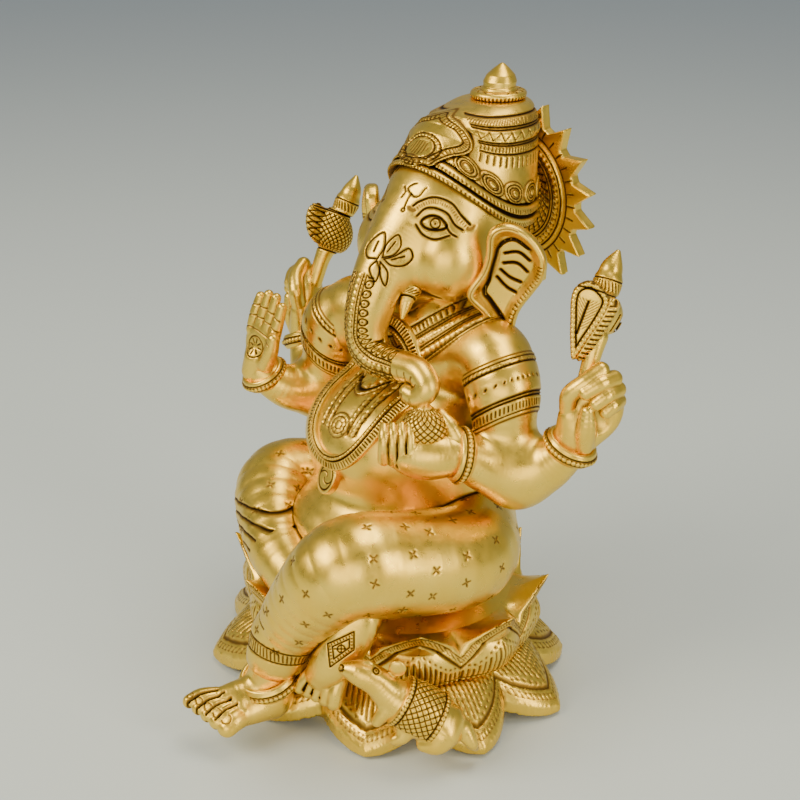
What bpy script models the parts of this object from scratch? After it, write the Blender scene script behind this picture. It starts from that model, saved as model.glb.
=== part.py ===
"""Seated four-armed elephant-headed deity in satin brass on a double lotus, built casting by casting.

Frame: the origin is the centre of the lotus's underside, +Z is up, the figure looks along -Y, and its
left side is +X. All figures below are millimetres; build_mesh() turns them into metres.
"""

import math

import bmesh
import bpy
from mathutils import Matrix, Vector

MM = 0.001
CONTACT_GAP = 0.35          # clearance left between two castings that touch
SHORTEST_EDGE = 0.03        # points closer than this are one point

# Lotus
BASE_HALF_WIDTH = 85.7      # petal tips of the lower tier, along X
BASE_HALF_DEPTH = 72.5      # and along Y
PETALS = 10                 # petals in each tier
PETAL_SEGMENTS = 6          # mesh columns across one petal
LOWER_TOP = 24.0            # where the upper tier stands on the lower one
SEAT_FLOOR = 41.0           # where the seat stands inside the upper tier
SEAT_TOP = 55.0

# Figure
SHOULDER = (44.0, 20.0, 150.0)
ELBOW = (59.0, 16.0, 104.0)
BACK_WRIST = (80.2, 22.8, 122.4)
BACK_FIST = (82.8, 30.0, 138.0)
FRONT_WRIST = (50.0, -7.0, 117.5)
RAISED_WRIST = (-68.0, -11.5, 118.0)
LEFT_KNEE = (37.0, -55.0, 80.0)
ANKLE = (8.0, -75.0, 25.0)
RIGHT_KNEE = (-52.0, -17.0, 70.0)
CROWN_BACK = 76.0           # y of the crown's back, let into the halo
CROWN_TOP = 240.0
HALO_CENTRE = (0.0, 74.4, 199.5)
HALO_RADIUS = 41.8
HALO_RAYS = 18
HALO_LEAN = math.radians(5.0)
FINIAL_TIP = 254.0

SHARP_ANGLE = math.radians(50.0)
BRASS = (0.78, 0.55, 0.20, 1.0)


# ---------------------------------------------------------------- meshes

def clear_scene():
    for obj in list(bpy.data.objects):
        bpy.data.objects.remove(obj, do_unlink=True)


def brass(name):
    material = bpy.data.materials.new(name + "_brass")
    material.use_nodes = True
    shader = material.node_tree.nodes["Principled BSDF"]
    shader.inputs["Base Color"].default_value = BRASS
    shader.inputs["Metallic"].default_value = 1.0
    shader.inputs["Roughness"].default_value = 0.32
    return material


def make_object(name, mesh):
    obj = bpy.data.objects.new(name, mesh)
    bpy.context.scene.collection.objects.link(obj)
    return obj


def build_mesh(name, solid):
    """Writes a bmesh that is in millimetres to a new object in metres."""
    bmesh.ops.scale(solid, vec=(MM, MM, MM), verts=solid.verts)
    bmesh.ops.recalc_face_normals(solid, faces=solid.faces)
    mesh = bpy.data.meshes.new(name)
    solid.to_mesh(mesh)
    solid.free()
    return make_object(name, mesh)


def freeze(obj):
    """Applies the object's modifiers to its mesh."""
    depsgraph = bpy.context.evaluated_depsgraph_get()
    mesh = bpy.data.meshes.new_from_object(obj.evaluated_get(depsgraph))
    obj.modifiers.clear()
    obj.data = mesh


def turn_towards(direction):
    """The rotation that takes +Z to a direction."""
    return Vector(direction).to_track_quat("Z", "Y").to_matrix().to_4x4()


def add_ellipsoid(solid, centre, radii, rotation=None):
    place = Matrix.Translation(centre) @ (rotation or Matrix()) @ Matrix.Diagonal((*radii, 1.0))
    bmesh.ops.create_icosphere(solid, subdivisions=3, radius=1.0, matrix=place)


def add_limb(solid, stations):
    """Round limb through stations of (point, radius): a ball at each and a cone between two."""
    for point, radius in stations:
        add_ellipsoid(solid, point, (radius, radius, radius))
    for (start, radius_a), (end, radius_b) in zip(stations, stations[1:]):
        run = Vector(end) - Vector(start)
        middle = (Vector(start) + Vector(end)) / 2.0
        bmesh.ops.create_cone(
            solid, cap_ends=True, segments=24, radius1=radius_a, radius2=radius_b,
            depth=run.length, matrix=Matrix.Translation(middle) @ turn_towards(run))


def add_closed_tube(solid, route, thickness, section=6):
    """Round tube along a closed route."""
    points = [Vector(point) for point in route]
    middle = sum(points, Vector()) / len(points)
    loops = []
    for before, here, after in zip(points[-1:] + points[:-1], points, points[1:] + points[:1]):
        along = (after - before).normalized()
        outward = (here - middle)
        outward = (outward - along * outward.dot(along)).normalized()
        across = along.cross(outward)
        loop = []
        for j in range(section):
            tilt = 2.0 * math.pi * (j + 0.5) / section
            loop.append(solid.verts.new(here + thickness * (math.cos(tilt) * outward + math.sin(tilt) * across)))
        loops.append(loop)
    for loop_a, loop_b in zip(loops, loops[1:] + loops[:1]):
        for j in range(section):
            k = (j + 1) % section
            solid.faces.new((loop_a[j], loop_b[j], loop_b[k], loop_a[k]))


def add_ring(solid, centre, axis, radius, thickness, around=16):
    """Round ring about an axis."""
    turn = turn_towards(axis)
    route = []
    for i in range(around):
        angle = 2.0 * math.pi * i / around
        route.append(Vector(centre) + turn @ Vector((radius * math.cos(angle), radius * math.sin(angle), 0.0)))
    add_closed_tube(solid, route, thickness)


def blend(name, solid, voxel, triangles):
    """Melts a casting's overlapping shapes into one skin and thins it to about so many triangles."""
    obj = build_mesh(name, solid)
    remesh = obj.modifiers.new("melt", "REMESH")
    remesh.mode = "VOXEL"
    remesh.voxel_size = voxel * MM
    remesh.adaptivity = 0.0
    smooth = obj.modifiers.new("ease", "SMOOTH")
    smooth.factor = 0.5
    smooth.iterations = 4
    freeze(obj)
    faces = sum(len(face.vertices) - 2 for face in obj.data.polygons)
    thin = obj.modifiers.new("thin", "DECIMATE")
    thin.ratio = min(1.0, triangles / faces)
    thin.use_collapse_triangulate = True
    freeze(obj)
    return obj


def keep_largest(obj):
    """Drops the chips that a cut leaves loose."""
    solid = bmesh.new()
    solid.from_mesh(obj.data)
    islands = []
    unseen = set(solid.verts)
    while unseen:
        stack = [unseen.pop()]
        island = list(stack)
        while stack:
            vertex = stack.pop()
            for edge in vertex.link_edges:
                other = edge.other_vert(vertex)
                if other in unseen:
                    unseen.remove(other)
                    stack.append(other)
                    island.append(other)
        islands.append(island)
    islands.sort(key=len)
    chips = [vertex for island in islands[:-1] for vertex in island]
    bmesh.ops.delete(solid, geom=chips, context="VERTS")
    solid.to_mesh(obj.data)
    solid.free()


def join_close_points(obj):
    """Joins points that a cut leaves almost on each other, unless that would open the skin."""
    solid = bmesh.new()
    solid.from_mesh(obj.data)
    bmesh.ops.triangulate(solid, faces=solid.faces)
    bmesh.ops.dissolve_degenerate(solid, dist=SHORTEST_EDGE * MM, edges=solid.edges)
    bmesh.ops.triangulate(solid, faces=solid.faces)
    if all(len(edge.link_faces) == 2 for edge in solid.edges):
        solid.to_mesh(obj.data)
    solid.free()


def combine(obj, other, operation):
    """One exact Boolean step between two objects, applied at once."""
    cut = obj.modifiers.new("cut", "BOOLEAN")
    cut.operation = operation
    cut.solver = "EXACT"
    cut.object = other
    freeze(obj)


def carve(obj, neighbours):
    """Cuts each neighbour's shape, swollen by the contact gap, out of a casting."""
    for neighbour in neighbours:
        swollen = make_object("cutter", neighbour.data.copy())
        swell = swollen.modifiers.new("swell", "DISPLACE")
        swell.strength = CONTACT_GAP * MM
        swell.mid_level = 0.0
        freeze(swollen)
        combine(obj, swollen, "DIFFERENCE")
        bpy.data.objects.remove(swollen, do_unlink=True)
    keep_largest(obj)
    join_close_points(obj)
    return obj


def stations(*rows):
    """Turns rows of (x, y, z, radius) into limb stations."""
    return [((x, y, z), radius) for x, y, z, radius in rows]


# ---------------------------------------------------------------- lotus

def petal_wave(angle, offset):
    """1 on a petal's centre line and 0 in the notch between two petals."""
    phase = (angle - offset) * PETALS / (2.0 * math.pi)
    return 1.0 - 2.0 * abs(phase - round(phase))


def skin_rings(name, rings):
    """Closes a stack of rings, from the lowest centre outward and back in to the upper centre."""
    solid = bmesh.new()
    rows = [[solid.verts.new(point) for point in ring] for ring in rings]
    for row_a, row_b in zip(rows, rows[1:]):
        for i in range(len(row_a)):
            k = (i + 1) % len(row_a)
            solid.faces.new((row_a[i], row_a[k], row_b[k], row_b[i]))
    for row in (rows[0], rows[-1]):
        middle = solid.verts.new(sum((vertex.co for vertex in row), Vector()) / len(row))
        for i in range(len(row)):
            solid.faces.new((row[i], row[(i + 1) % len(row)], middle))
    bmesh.ops.triangulate(solid, faces=solid.faces)
    return build_mesh(name, solid)


def lotus_tier(name, offset, profile):
    """A ring of pointed petals. Each profile row is (reach, height) at the notch and at the petal's
    centre line, with reach as a share of the base's half width."""
    count = PETALS * PETAL_SEGMENTS
    rings = []
    for (reach_notch, height_notch), (reach_tip, height_tip) in profile:
        ring = []
        for i in range(count):
            angle = 2.0 * math.pi * i / count
            wave = petal_wave(angle, offset)
            reach = reach_notch + (reach_tip - reach_notch) * wave
            height = height_notch + (height_tip - height_notch) * wave ** 0.75
            ring.append((BASE_HALF_WIDTH * reach * math.cos(angle),
                         BASE_HALF_DEPTH * reach * math.sin(angle), height))
        rings.append(ring)
    return skin_rings(name, rings)


def lower_tier():
    return lotus_tier("lotus_lower_tier", math.radians(90.0), [
        ((0.62, 0.0), (0.62, 0.0)),
        ((0.70, 0.0), (0.70, 0.0)),
        ((0.74, 6.0), (0.80, 6.0)),
        ((0.80, 9.0), (0.975, 2.6)),
        ((0.83, 12.0), (1.0, 5.2)),
        ((0.83, 17.0), (0.93, 15.0)),
        ((0.79, 21.0), (0.82, 22.5)),
        ((0.74, LOWER_TOP), (0.75, LOWER_TOP)),
    ])


def upper_tier():
    return lotus_tier("lotus_upper_tier", math.radians(72.0), [
        ((0.60, LOWER_TOP + CONTACT_GAP), (0.60, LOWER_TOP + CONTACT_GAP)),
        ((0.74, LOWER_TOP + CONTACT_GAP), (0.74, LOWER_TOP + CONTACT_GAP)),
        ((0.765, 29.0), (0.80, 29.0)),
        ((0.765, 34.0), (0.82, 40.0)),
        ((0.770, 38.0), (0.875, 52.0)),
        ((0.755, 39.5), (0.845, 53.0)),
        ((0.73, SEAT_FLOOR - 0.5), (0.775, 44.0)),
        ((0.70, SEAT_FLOOR), (0.71, SEAT_FLOOR)),
    ])


def seat():
    """The smooth dome that the figure sits on."""
    floor = SEAT_FLOOR + CONTACT_GAP
    rings = []
    for reach, height in ((0.60, floor), (0.675, floor), (0.685, 45.0), (0.66, 50.0), (0.58, 53.4), (0.45, SEAT_TOP)):
        ring = []
        for i in range(30):
            angle = 2.0 * math.pi * i / 30
            ring.append((BASE_HALF_WIDTH * reach * math.cos(angle), BASE_HALF_DEPTH * reach * math.sin(angle), height))
        rings.append(ring)
    return skin_rings("seat_dome", rings)


# ---------------------------------------------------------------- body

def torso():
    solid = bmesh.new()
    add_ellipsoid(solid, (0, 8, 109), (42, 42, 29))
    add_ellipsoid(solid, (0, 20, 84), (46, 38, 30))
    add_ellipsoid(solid, (0, 24, 142), (38, 25, 26))
    for side in (-1, 1):
        x, y, z = SHOULDER
        add_ellipsoid(solid, (side * (x - 8), y + 2, z + 1), (16, 16, 15))
    add_limb(solid, stations((0, 26, 150, 22), (0, 30, 176, 18)))
    return blend("torso", solid, 2.2, 600)


def left_leg():
    solid = bmesh.new()
    x, y, z = LEFT_KNEE
    add_limb(solid, stations((33, 20, 73, 21), (51, -2, 72, 21), (45, -34, 77.5, 21), (x, y, z, 20),
                             (22, -63, 61, 16), (10, -66, 41, 12.5), (8.5, -69, 34, 11)))
    return blend("left_leg", solid, 2.2, 420)


def right_leg():
    solid = bmesh.new()
    x, y, z = RIGHT_KNEE
    add_limb(solid, stations((-32, 22, 79, 23), (-46, 0, 76, 21.5), (x, y, z, 19),
                             (-24, -40, 60, 14), (4, -47, 53, 11.5), (22, -48, 52, 9.5)))
    return blend("right_leg", solid, 2.2, 420)


def front_foot():
    """Bare foot below the hanging shin, pointing to the front, its big toe on the left."""
    solid = bmesh.new()
    x, y, z = ANKLE
    add_limb(solid, stations((x, y + 4, z + 3, 8.5), (x - 1, y + 2, z - 6, 8.5)))
    add_limb(solid, stations((x - 1, y + 6, 15, 7.5), (x - 4, y - 12, 17, 6.8), (x - 6, y - 19, 17.5, 6)))
    add_limb(solid, stations((x + 2, y + 2, 13, 6.5), (x + 3, y - 13, 12.5, 5.6)))
    for toe in range(5):
        share = toe / 4.0
        radius = 2.4 + 1.3 * share
        knuckle = (x - 9.5 + 13.5 * share, y - 17 + 4 * share, 18.5 - 6.5 * share)
        tip = (x - 14 + 18.5 * share, y - 28 + 7.5 * share, 18.5 - 7 * share)
        add_limb(solid, [(knuckle, radius + 0.6), (tip, radius)])
    return blend("front_foot", solid, 1.3, 340)


def tucked_foot():
    """Bare foot tucked under the left knee, sole outward and toes down."""
    solid = bmesh.new()
    add_limb(solid, stations((33, -46, 54, 8), (33, -54, 41, 8), (32, -60, 31, 6.5)))
    for toe in range(5):
        along = -3.2 * (toe - 2)
        radius = 2.2 + 0.2 * toe
        add_limb(solid, stations((31.5, -60 + along, 31, radius + 0.6), (31, -63 + along * 1.3, 23.5 + 0.8 * toe, radius)))
    return blend("tucked_foot", solid, 1.3, 280)


def anklet():
    solid = bmesh.new()
    x, y, z = ANKLE
    add_ring(solid, (x, y + 2.5, z - 0.5), (0, -0.35, 1), 10.5, 2.6)
    return build_mesh("anklet", solid)


# ---------------------------------------------------------------- head

def head():
    solid = bmesh.new()
    add_ellipsoid(solid, (0, 36, 198), (28, 29, 29))
    add_ellipsoid(solid, (0, 24, 206), (22, 20, 17))
    for side in (-1, 1):
        add_ellipsoid(solid, (side * 16, 22, 184), (14, 15, 16))
    add_limb(solid, stations((0, 24, 192, 17), (0, 14, 180, 14)))
    return blend("head", solid, 2.0, 460)


def trunk():
    solid = bmesh.new()
    add_limb(solid, stations((0, 12, 194, 14.5), (0, 1, 183, 12), (0, -8, 170, 9.6), (0, -11.5, 157, 8.2),
                             (3, -11, 149, 7.4), (11, -9.5, 145, 6.8), (21, -9, 143.5, 6.2),
                             (31, -9.5, 142.5, 5.6), (37, -12.5, 139, 5.0)))
    return blend("trunk", solid, 1.6, 340)


def tusk(side, length):
    solid = bmesh.new()
    x = side * 13.5
    tip = (side * 16.5, 2.0 - 10.0 * length, 175.0 - 13.0 * length)
    add_limb(solid, [((x, 2, 177), 4.6), ((x + side * 1.2, -1, 172), 4.2), (tip, 1.6)])
    return blend("left_tusk" if side > 0 else "right_tusk", solid, 0.9, 120)


def ear(side):
    """Broad ear that hangs from the side of the head and opens forward."""
    solid = bmesh.new()
    turn = Matrix.Rotation(side * math.radians(38.0), 4, "Z")
    add_ellipsoid(solid, (side * 42, 34, 183), (14, 3.2, 15), turn)
    add_ellipsoid(solid, (side * 39.5, 32, 168), (11, 3.0, 19), turn)
    return blend("left_ear" if side > 0 else "right_ear", solid, 1.2, 150)


# ---------------------------------------------------------------- crown and halo

def crown_foot(angle):
    """Height of the crown's lower edge: high over the brow, low above the ears."""
    return 221.0 - 28.0 * min(1.0, 1.0 - math.cos(angle)) ** 1.5


def crown():
    columns = 26
    rings = []
    levels = ((0.0, 43.0, 21.0), (0.0, 43.5, 26.0), (0.25, 44.5, 27.0), (0.62, 48.5, 25.0),
              (0.88, 54.0, 20.5), (1.0, 60.0, 13.5), (1.0, 60.5, 8.0))
    for share, centre, radius in levels:
        ring = []
        for i in range(columns):
            angle = 2.0 * math.pi * i / columns
            foot = crown_foot(angle)
            y = min(centre - radius * math.cos(angle), CROWN_BACK - CONTACT_GAP)
            ring.append((radius * math.sin(angle), y, foot + (CROWN_TOP - foot) * share))
        rings.append(ring)
    return skin_rings("crown", rings)


def finial():
    """Collar discs and the bud on top, turned about one upright axis."""
    foot = CROWN_TOP + CONTACT_GAP
    profile = ((5.0, foot), (10.5, foot), (11.4, foot + 1.3), (10.2, foot + 2.6), (6.0, foot + 3.0),
               (6.9, foot + 5.2), (6.4, foot + 8.0), (4.0, foot + 11.2), (0.8, FINIAL_TIP))
    rings = []
    for radius, height in profile:
        ring = []
        for i in range(14):
            angle = 2.0 * math.pi * i / 14
            ring.append((radius * math.cos(angle), 61.5 + radius * math.sin(angle) + (height - foot) * 0.15, height))
        rings.append(ring)
    return skin_rings("crown_finial", rings)


def halo():
    """Flat disc with pointed rays around it, leaning back behind the crown."""
    solid = bmesh.new()
    outline = []
    for i in range(2 * HALO_RAYS):
        reach = HALO_RADIUS if i % 2 == 0 else HALO_RADIUS - 9.0
        angle = math.radians(7.0) + math.pi * i / HALO_RAYS
        outline.append(solid.verts.new((reach * math.cos(angle), 0.0, reach * math.sin(angle))))
    front = solid.faces.new(outline)
    back = bmesh.ops.extrude_face_region(solid, geom=[front])["geom"]
    bmesh.ops.translate(solid, vec=(0, 3.0, 0), verts=[item for item in back if isinstance(item, bmesh.types.BMVert)])
    place = Matrix.Translation(HALO_CENTRE) @ Matrix.Rotation(-HALO_LEAN, 4, "X")
    bmesh.ops.transform(solid, matrix=place, verts=solid.verts)
    return build_mesh("halo", solid)


# ---------------------------------------------------------------- arms

def side_name(side, name):
    return ("left_" if side > 0 else "right_") + name


def upper_arm(side):
    solid = bmesh.new()
    x, y, z = SHOULDER
    ex, ey, ez = ELBOW
    add_limb(solid, [((side * (x + 1), y, z), 16.5), ((side * (x + 9), y - 5, z - 9), 15.2),
                     ((side * (ex - 2), ey - 1, ez + 18), 14.5), ((side * ex, ey, ez), 13.8)])
    return blend(side_name(side, "upper_arm"), solid, 1.8, 200)


def back_forearm(side):
    solid = bmesh.new()
    ex, ey, ez = ELBOW
    wx, wy, wz = BACK_WRIST
    add_limb(solid, [((side * (ex + 4), ey + 1, ez - 1), 12.6), ((side * (ex + 12), ey + 3, ez + 8), 10.6),
                     ((side * wx, wy, wz), 7.8)])
    return blend(side_name(side, "back_forearm"), solid, 1.6, 130)


def back_bangle(side):
    solid = bmesh.new()
    wx, wy, wz = BACK_WRIST
    add_ring(solid, (side * wx, wy, wz), (side * 0.45, 0.15, 1.0), 8.8, 2.4)
    return build_mesh(side_name(side, "back_bangle"), solid)


def back_hand(side):
    """Closed hand: a palm with four fingers folded forward and a thumb."""
    solid = bmesh.new()
    wx, wy, wz = BACK_WRIST
    fx, fy, fz = BACK_FIST
    add_limb(solid, [((side * (wx + 0.5), wy + 1, wz + 3), 7.0), ((side * fx, fy, fz), 9.0)])
    add_ellipsoid(solid, (side * fx, fy + 1, fz + 2), (8.5, 8.5, 12.5))
    for finger in range(4):
        height = fz - 6 + 5.2 * finger
        add_limb(solid, [((side * (fx + 3), fy - 4, height), 3.2), ((side * (fx - 5), fy - 8, height + 1), 2.8)])
    add_limb(solid, [((side * (fx - 5), fy - 2, fz + 6), 3.4), ((side * (fx - 4), fy - 6, fz + 15), 2.8)])
    return blend(side_name(side, "back_hand"), solid, 1.3, 270)


def held_stem(side):
    """The lower stations that both hand-held emblems share, from the fist to the bulb."""
    fx, fy, fz = BACK_FIST
    return [((side * (fx - 2), fy - 1, fz + 10), 3.4), ((side * (fx - 2.5), fy + 4, fz + 22), 4.0)]


def conch():
    """Left emblem: a conch-like bud with a leaf on one side, a collar and a pointed tip."""
    solid = bmesh.new()
    add_limb(solid, held_stem(1))
    add_ellipsoid(solid, (79, 39, 172), (8, 8.5, 11), Matrix.Rotation(math.radians(-25), 4, "X"))
    add_ellipsoid(solid, (76, 30, 171), (4, 9, 15), Matrix.Rotation(math.radians(-14), 4, "X"))
    add_limb(solid, stations((76, 44.5, 182, 5.6), (75.5, 48, 189, 4.4), (76.2, 50, 193.5, 1.4)))
    return blend("conch_emblem", solid, 1.2, 230)


def axe():
    """Right emblem: a cross-hatched mace bulb with a leaf blade, a collar and a pointed tip."""
    solid = bmesh.new()
    add_limb(solid, held_stem(-1))
    add_ellipsoid(solid, (-78.5, 38, 171), (9, 9, 11.5), Matrix.Rotation(math.radians(-25), 4, "X"))
    add_ellipsoid(solid, (-79, 30, 176), (3.5, 6, 10), Matrix.Rotation(math.radians(-14), 4, "X"))
    add_limb(solid, stations((-76, 44.5, 182, 5.6), (-75.5, 48, 189, 4.4), (-76.2, 50, 193.5, 1.4)))
    return blend("axe_emblem", solid, 1.2, 230)


def left_front_forearm():
    solid = bmesh.new()
    ex, ey, ez = ELBOW
    add_limb(solid, [((ex + 1, ey - 5, ez + 1), 12.8), ((ex - 4, ey - 14, ez + 8), 10.8), (FRONT_WRIST, 8.2)])
    return blend("left_front_forearm", solid, 1.6, 130)


def left_front_bangle():
    solid = bmesh.new()
    add_ring(solid, FRONT_WRIST, (-0.45, -0.85, 0.25), 9.0, 2.3)
    return build_mesh("left_front_bangle", solid)


def left_front_hand():
    """Open hand, palm up, with four fingers curled around the sweet."""
    solid = bmesh.new()
    x, y, z = FRONT_WRIST
    add_limb(solid, [((x - 1.5, y - 3, z + 1), 7.6), ((x - 6, y - 10, z + 4), 9.4), ((x - 11, y - 14, z + 4), 8.4)])
    for finger in range(4):
        shift = 4.4 * finger
        add_limb(solid, [((x - 13 - 0.2 * shift, y - 19 + 0.3 * shift, z - 3 + 0.8 * shift), 3.1),
                         ((x - 19 - 0.2 * shift, y - 18 + 0.4 * shift, z - 1 + 0.8 * shift), 2.8),
                         ((x - 23, y - 14 + 0.3 * shift, z + 2 + 0.8 * shift), 2.4)])
    return blend("left_front_hand", solid, 1.3, 270)


def sweet():
    """Round modak sweet resting on the left palm, under the tip of the trunk."""
    solid = bmesh.new()
    add_ellipsoid(solid, (36.5, -14.5, 129.5), (9.5, 8.5, 7.8))
    return blend("modak_sweet", solid, 1.2, 110)


def right_front_forearm():
    solid = bmesh.new()
    ex, ey, ez = ELBOW
    add_limb(solid, [((-ex, ey - 6, ez + 3), 12.0), ((-ex - 3, ey - 19, ez + 8), 10.0), (RAISED_WRIST, 7.4)])
    return blend("right_front_forearm", solid, 1.6, 130)


def right_front_bangle():
    solid = bmesh.new()
    add_ring(solid, RAISED_WRIST, (-0.1, -0.55, 1.0), 8.4, 2.2)
    return build_mesh("right_front_bangle", solid)


def right_front_hand():
    """Raised open hand, palm to the front, fingers together."""
    solid = bmesh.new()
    x, y, z = RAISED_WRIST
    add_limb(solid, [((x, y - 0.5, z + 2), 6.4), ((x, y - 1, z + 9), 6.6)])
    add_ellipsoid(solid, (x, y - 0.5, z + 14), (10.0, 4.6, 10.5))
    for finger in range(4):
        across = x - 7.2 + 4.8 * finger
        top = z + 36 + (1.5 if finger in (1, 2) else -1.5)
        add_limb(solid, [((across, y, z + 18), 3.0), ((across, y + 1.5, top), 2.4)])
    add_limb(solid, [((x + 8, y - 2, z + 9), 3.4), ((x + 13, y - 3, z + 20), 2.6)])
    return blend("right_front_hand", solid, 1.2, 300)


# ---------------------------------------------------------------- ornaments

def necklace():
    """Long beaded loop that hangs from the neck over the belly."""
    solid = bmesh.new()
    route = []
    for i in range(24):
        turn = 2.0 * math.pi * i / 24
        x = 21.0 * math.sin(turn)
        z = 131.5 - 25.0 * math.cos(turn)
        belly_share = 1.0 - (x / 42.0) ** 2 - ((z - 109.0) / 29.0) ** 2
        belly = 8.0 - 42.0 * math.sqrt(max(0.0, belly_share))
        chest_share = 1.0 - (x / 38.0) ** 2 - ((z - 142.0) / 26.0) ** 2
        chest = 24.0 - 25.0 * math.sqrt(max(0.0, chest_share))
        route.append((x, min(belly, chest) - 0.8, z))
    add_closed_tube(solid, route, 3.0)
    return build_mesh("necklace", solid)


def pendant():
    solid = bmesh.new()
    add_ellipsoid(solid, (0, -33.0, 99.0), (4.6, 2.2, 6.6), Matrix.Rotation(math.radians(24), 4, "X"))
    return blend("necklace_pendant", solid, 0.9, 140)


# ---------------------------------------------------------------- mouse

def mouse():
    solid = bmesh.new()
    add_limb(solid, stations((73, -37, 18, 9.5), (67, -44, 24, 10), (59, -52, 31, 8.6), (52, -58, 38, 7.0), (45, -64, 42, 3.4)))
    for side in (-1, 1):
        add_ellipsoid(solid, (55.5 + 4.6 * side, -54 + 4.6 * side, 43.5), (2.8, 2.8, 3.4))
    add_limb(solid, stations((68, -51, 18, 3.6), (66, -56, 11, 2.6)))
    add_limb(solid, stations((79, -42, 13, 4.2), (79, -46, 6, 3.0)))
    return blend("mouse", solid, 1.3, 420)


def saddle_cloth():
    """Cloth over the mouse's back, a shell once the mouse is cut out of it."""
    solid = bmesh.new()
    add_limb(solid, stations((69.0, -41.5, 23, 11.4), (61.5, -49.5, 29.5, 10.6)))
    return blend("saddle_cloth", solid, 1.2, 150)


# ---------------------------------------------------------------- assembly

def corners(obj):
    """The lowest and the highest corner of a casting's box."""
    points = [vertex.co for vertex in obj.data.vertices]
    lowest = Vector(min(point[axis] for point in points) for axis in range(3))
    highest = Vector(max(point[axis] for point in points) for axis in range(3))
    return lowest, highest


def boxes_meet(obj, other):
    low_a, high_a = corners(obj)
    low_b, high_b = corners(other)
    reach = 2.0 * CONTACT_GAP * MM
    return all(low_a[axis] < high_b[axis] + reach and low_b[axis] < high_a[axis] + reach for axis in range(3))


def castings():
    """Every casting, in the order in which each one gives way to those before it."""
    yield lower_tier()
    yield upper_tier()
    yield seat()
    yield crown()
    yield finial()
    yield halo()
    yield torso()
    yield left_leg()
    yield right_leg()
    yield front_foot()
    yield tucked_foot()
    yield anklet()
    yield head()
    yield trunk()
    yield tusk(1, 1.0)
    yield tusk(-1, 0.55)
    for side in (1, -1):
        yield ear(side)
        yield upper_arm(side)
        yield back_forearm(side)
        yield back_hand(side)
        yield back_bangle(side)
    yield left_front_forearm()
    yield left_front_hand()
    yield left_front_bangle()
    yield sweet()
    yield right_front_forearm()
    yield right_front_hand()
    yield right_front_bangle()
    yield conch()
    yield axe()
    yield necklace()
    yield pendant()
    yield mouse()
    yield saddle_cloth()


def build():
    clear_scene()
    done = []
    for obj in castings():
        neighbours = [other for other in done if boxes_meet(obj, other)]
        done.append(carve(obj, neighbours))
    for obj in done:
        obj.data.materials.clear()
        obj.data.materials.append(brass(obj.name))
        obj.data.shade_smooth()
        obj.data.set_sharp_from_angle(angle=SHARP_ANGLE)


build()
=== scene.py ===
"""Looks of the seated brass deity: every casting of the frame is replaced by a sculpted, chased one.

Each casting is a signed distance field in figure millimetres, made of ellipsoids and smooth limbs.
Chasing (grooves, beads, hatching) moves its surface, and leaves a stain where patina stays; on the face it
also paints shade into the mouth hollow.
"""
import math

import bpy
import numpy as np
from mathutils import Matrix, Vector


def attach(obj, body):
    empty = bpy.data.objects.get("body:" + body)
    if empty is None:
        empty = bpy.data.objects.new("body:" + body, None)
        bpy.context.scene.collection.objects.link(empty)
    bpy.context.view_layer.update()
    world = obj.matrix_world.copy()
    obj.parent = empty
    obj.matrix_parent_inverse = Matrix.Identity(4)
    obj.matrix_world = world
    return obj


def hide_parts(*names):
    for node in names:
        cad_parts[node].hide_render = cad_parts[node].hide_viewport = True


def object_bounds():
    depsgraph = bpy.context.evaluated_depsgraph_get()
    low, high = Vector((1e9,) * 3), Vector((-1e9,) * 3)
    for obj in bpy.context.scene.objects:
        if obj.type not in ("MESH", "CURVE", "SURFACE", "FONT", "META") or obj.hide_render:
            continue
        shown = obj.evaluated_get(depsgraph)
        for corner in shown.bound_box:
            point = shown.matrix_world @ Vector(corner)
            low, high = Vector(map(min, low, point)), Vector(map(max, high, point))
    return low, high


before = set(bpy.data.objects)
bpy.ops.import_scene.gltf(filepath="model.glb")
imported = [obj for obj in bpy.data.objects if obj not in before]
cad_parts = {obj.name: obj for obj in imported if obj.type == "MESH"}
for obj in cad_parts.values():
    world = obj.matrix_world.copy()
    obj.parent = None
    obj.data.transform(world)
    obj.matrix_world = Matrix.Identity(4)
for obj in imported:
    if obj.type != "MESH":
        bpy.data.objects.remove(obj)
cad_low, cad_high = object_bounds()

import openvdb
from mathutils import Matrix, Vector

FIGURE_HEIGHT = 254.0                                   # figure millimetres from underside to tip
MM = (cad_high[2] - cad_low[2]) / FIGURE_HEIGHT         # metres in one of them
GRAIN = 1.0
BLOCK = 4                                               # fine voxels along a coarse one
FAR = 9.0                                               # a distance at which no tool cuts
EVERYWHERE = slice(None)


# ---- vectors and curves

def vec(*numbers):
    return np.array(numbers, dtype=np.float32)


def unit(vector):
    vector = np.asarray(vector, dtype=np.float32)
    return vector / np.linalg.norm(vector)


def turn(axis, degrees):
    """3 by 3 rotation whose columns are the turned axes."""
    return np.array(Matrix.Rotation(math.radians(degrees), 3, axis), dtype=np.float32)


def clamp(values):
    return np.clip(values, 0.0, 1.0)


def fold(values, spacing):
    """Signed distance to the nearest multiple of the spacing."""
    turns = values / spacing
    return (turns - np.round(turns)) * spacing


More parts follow.
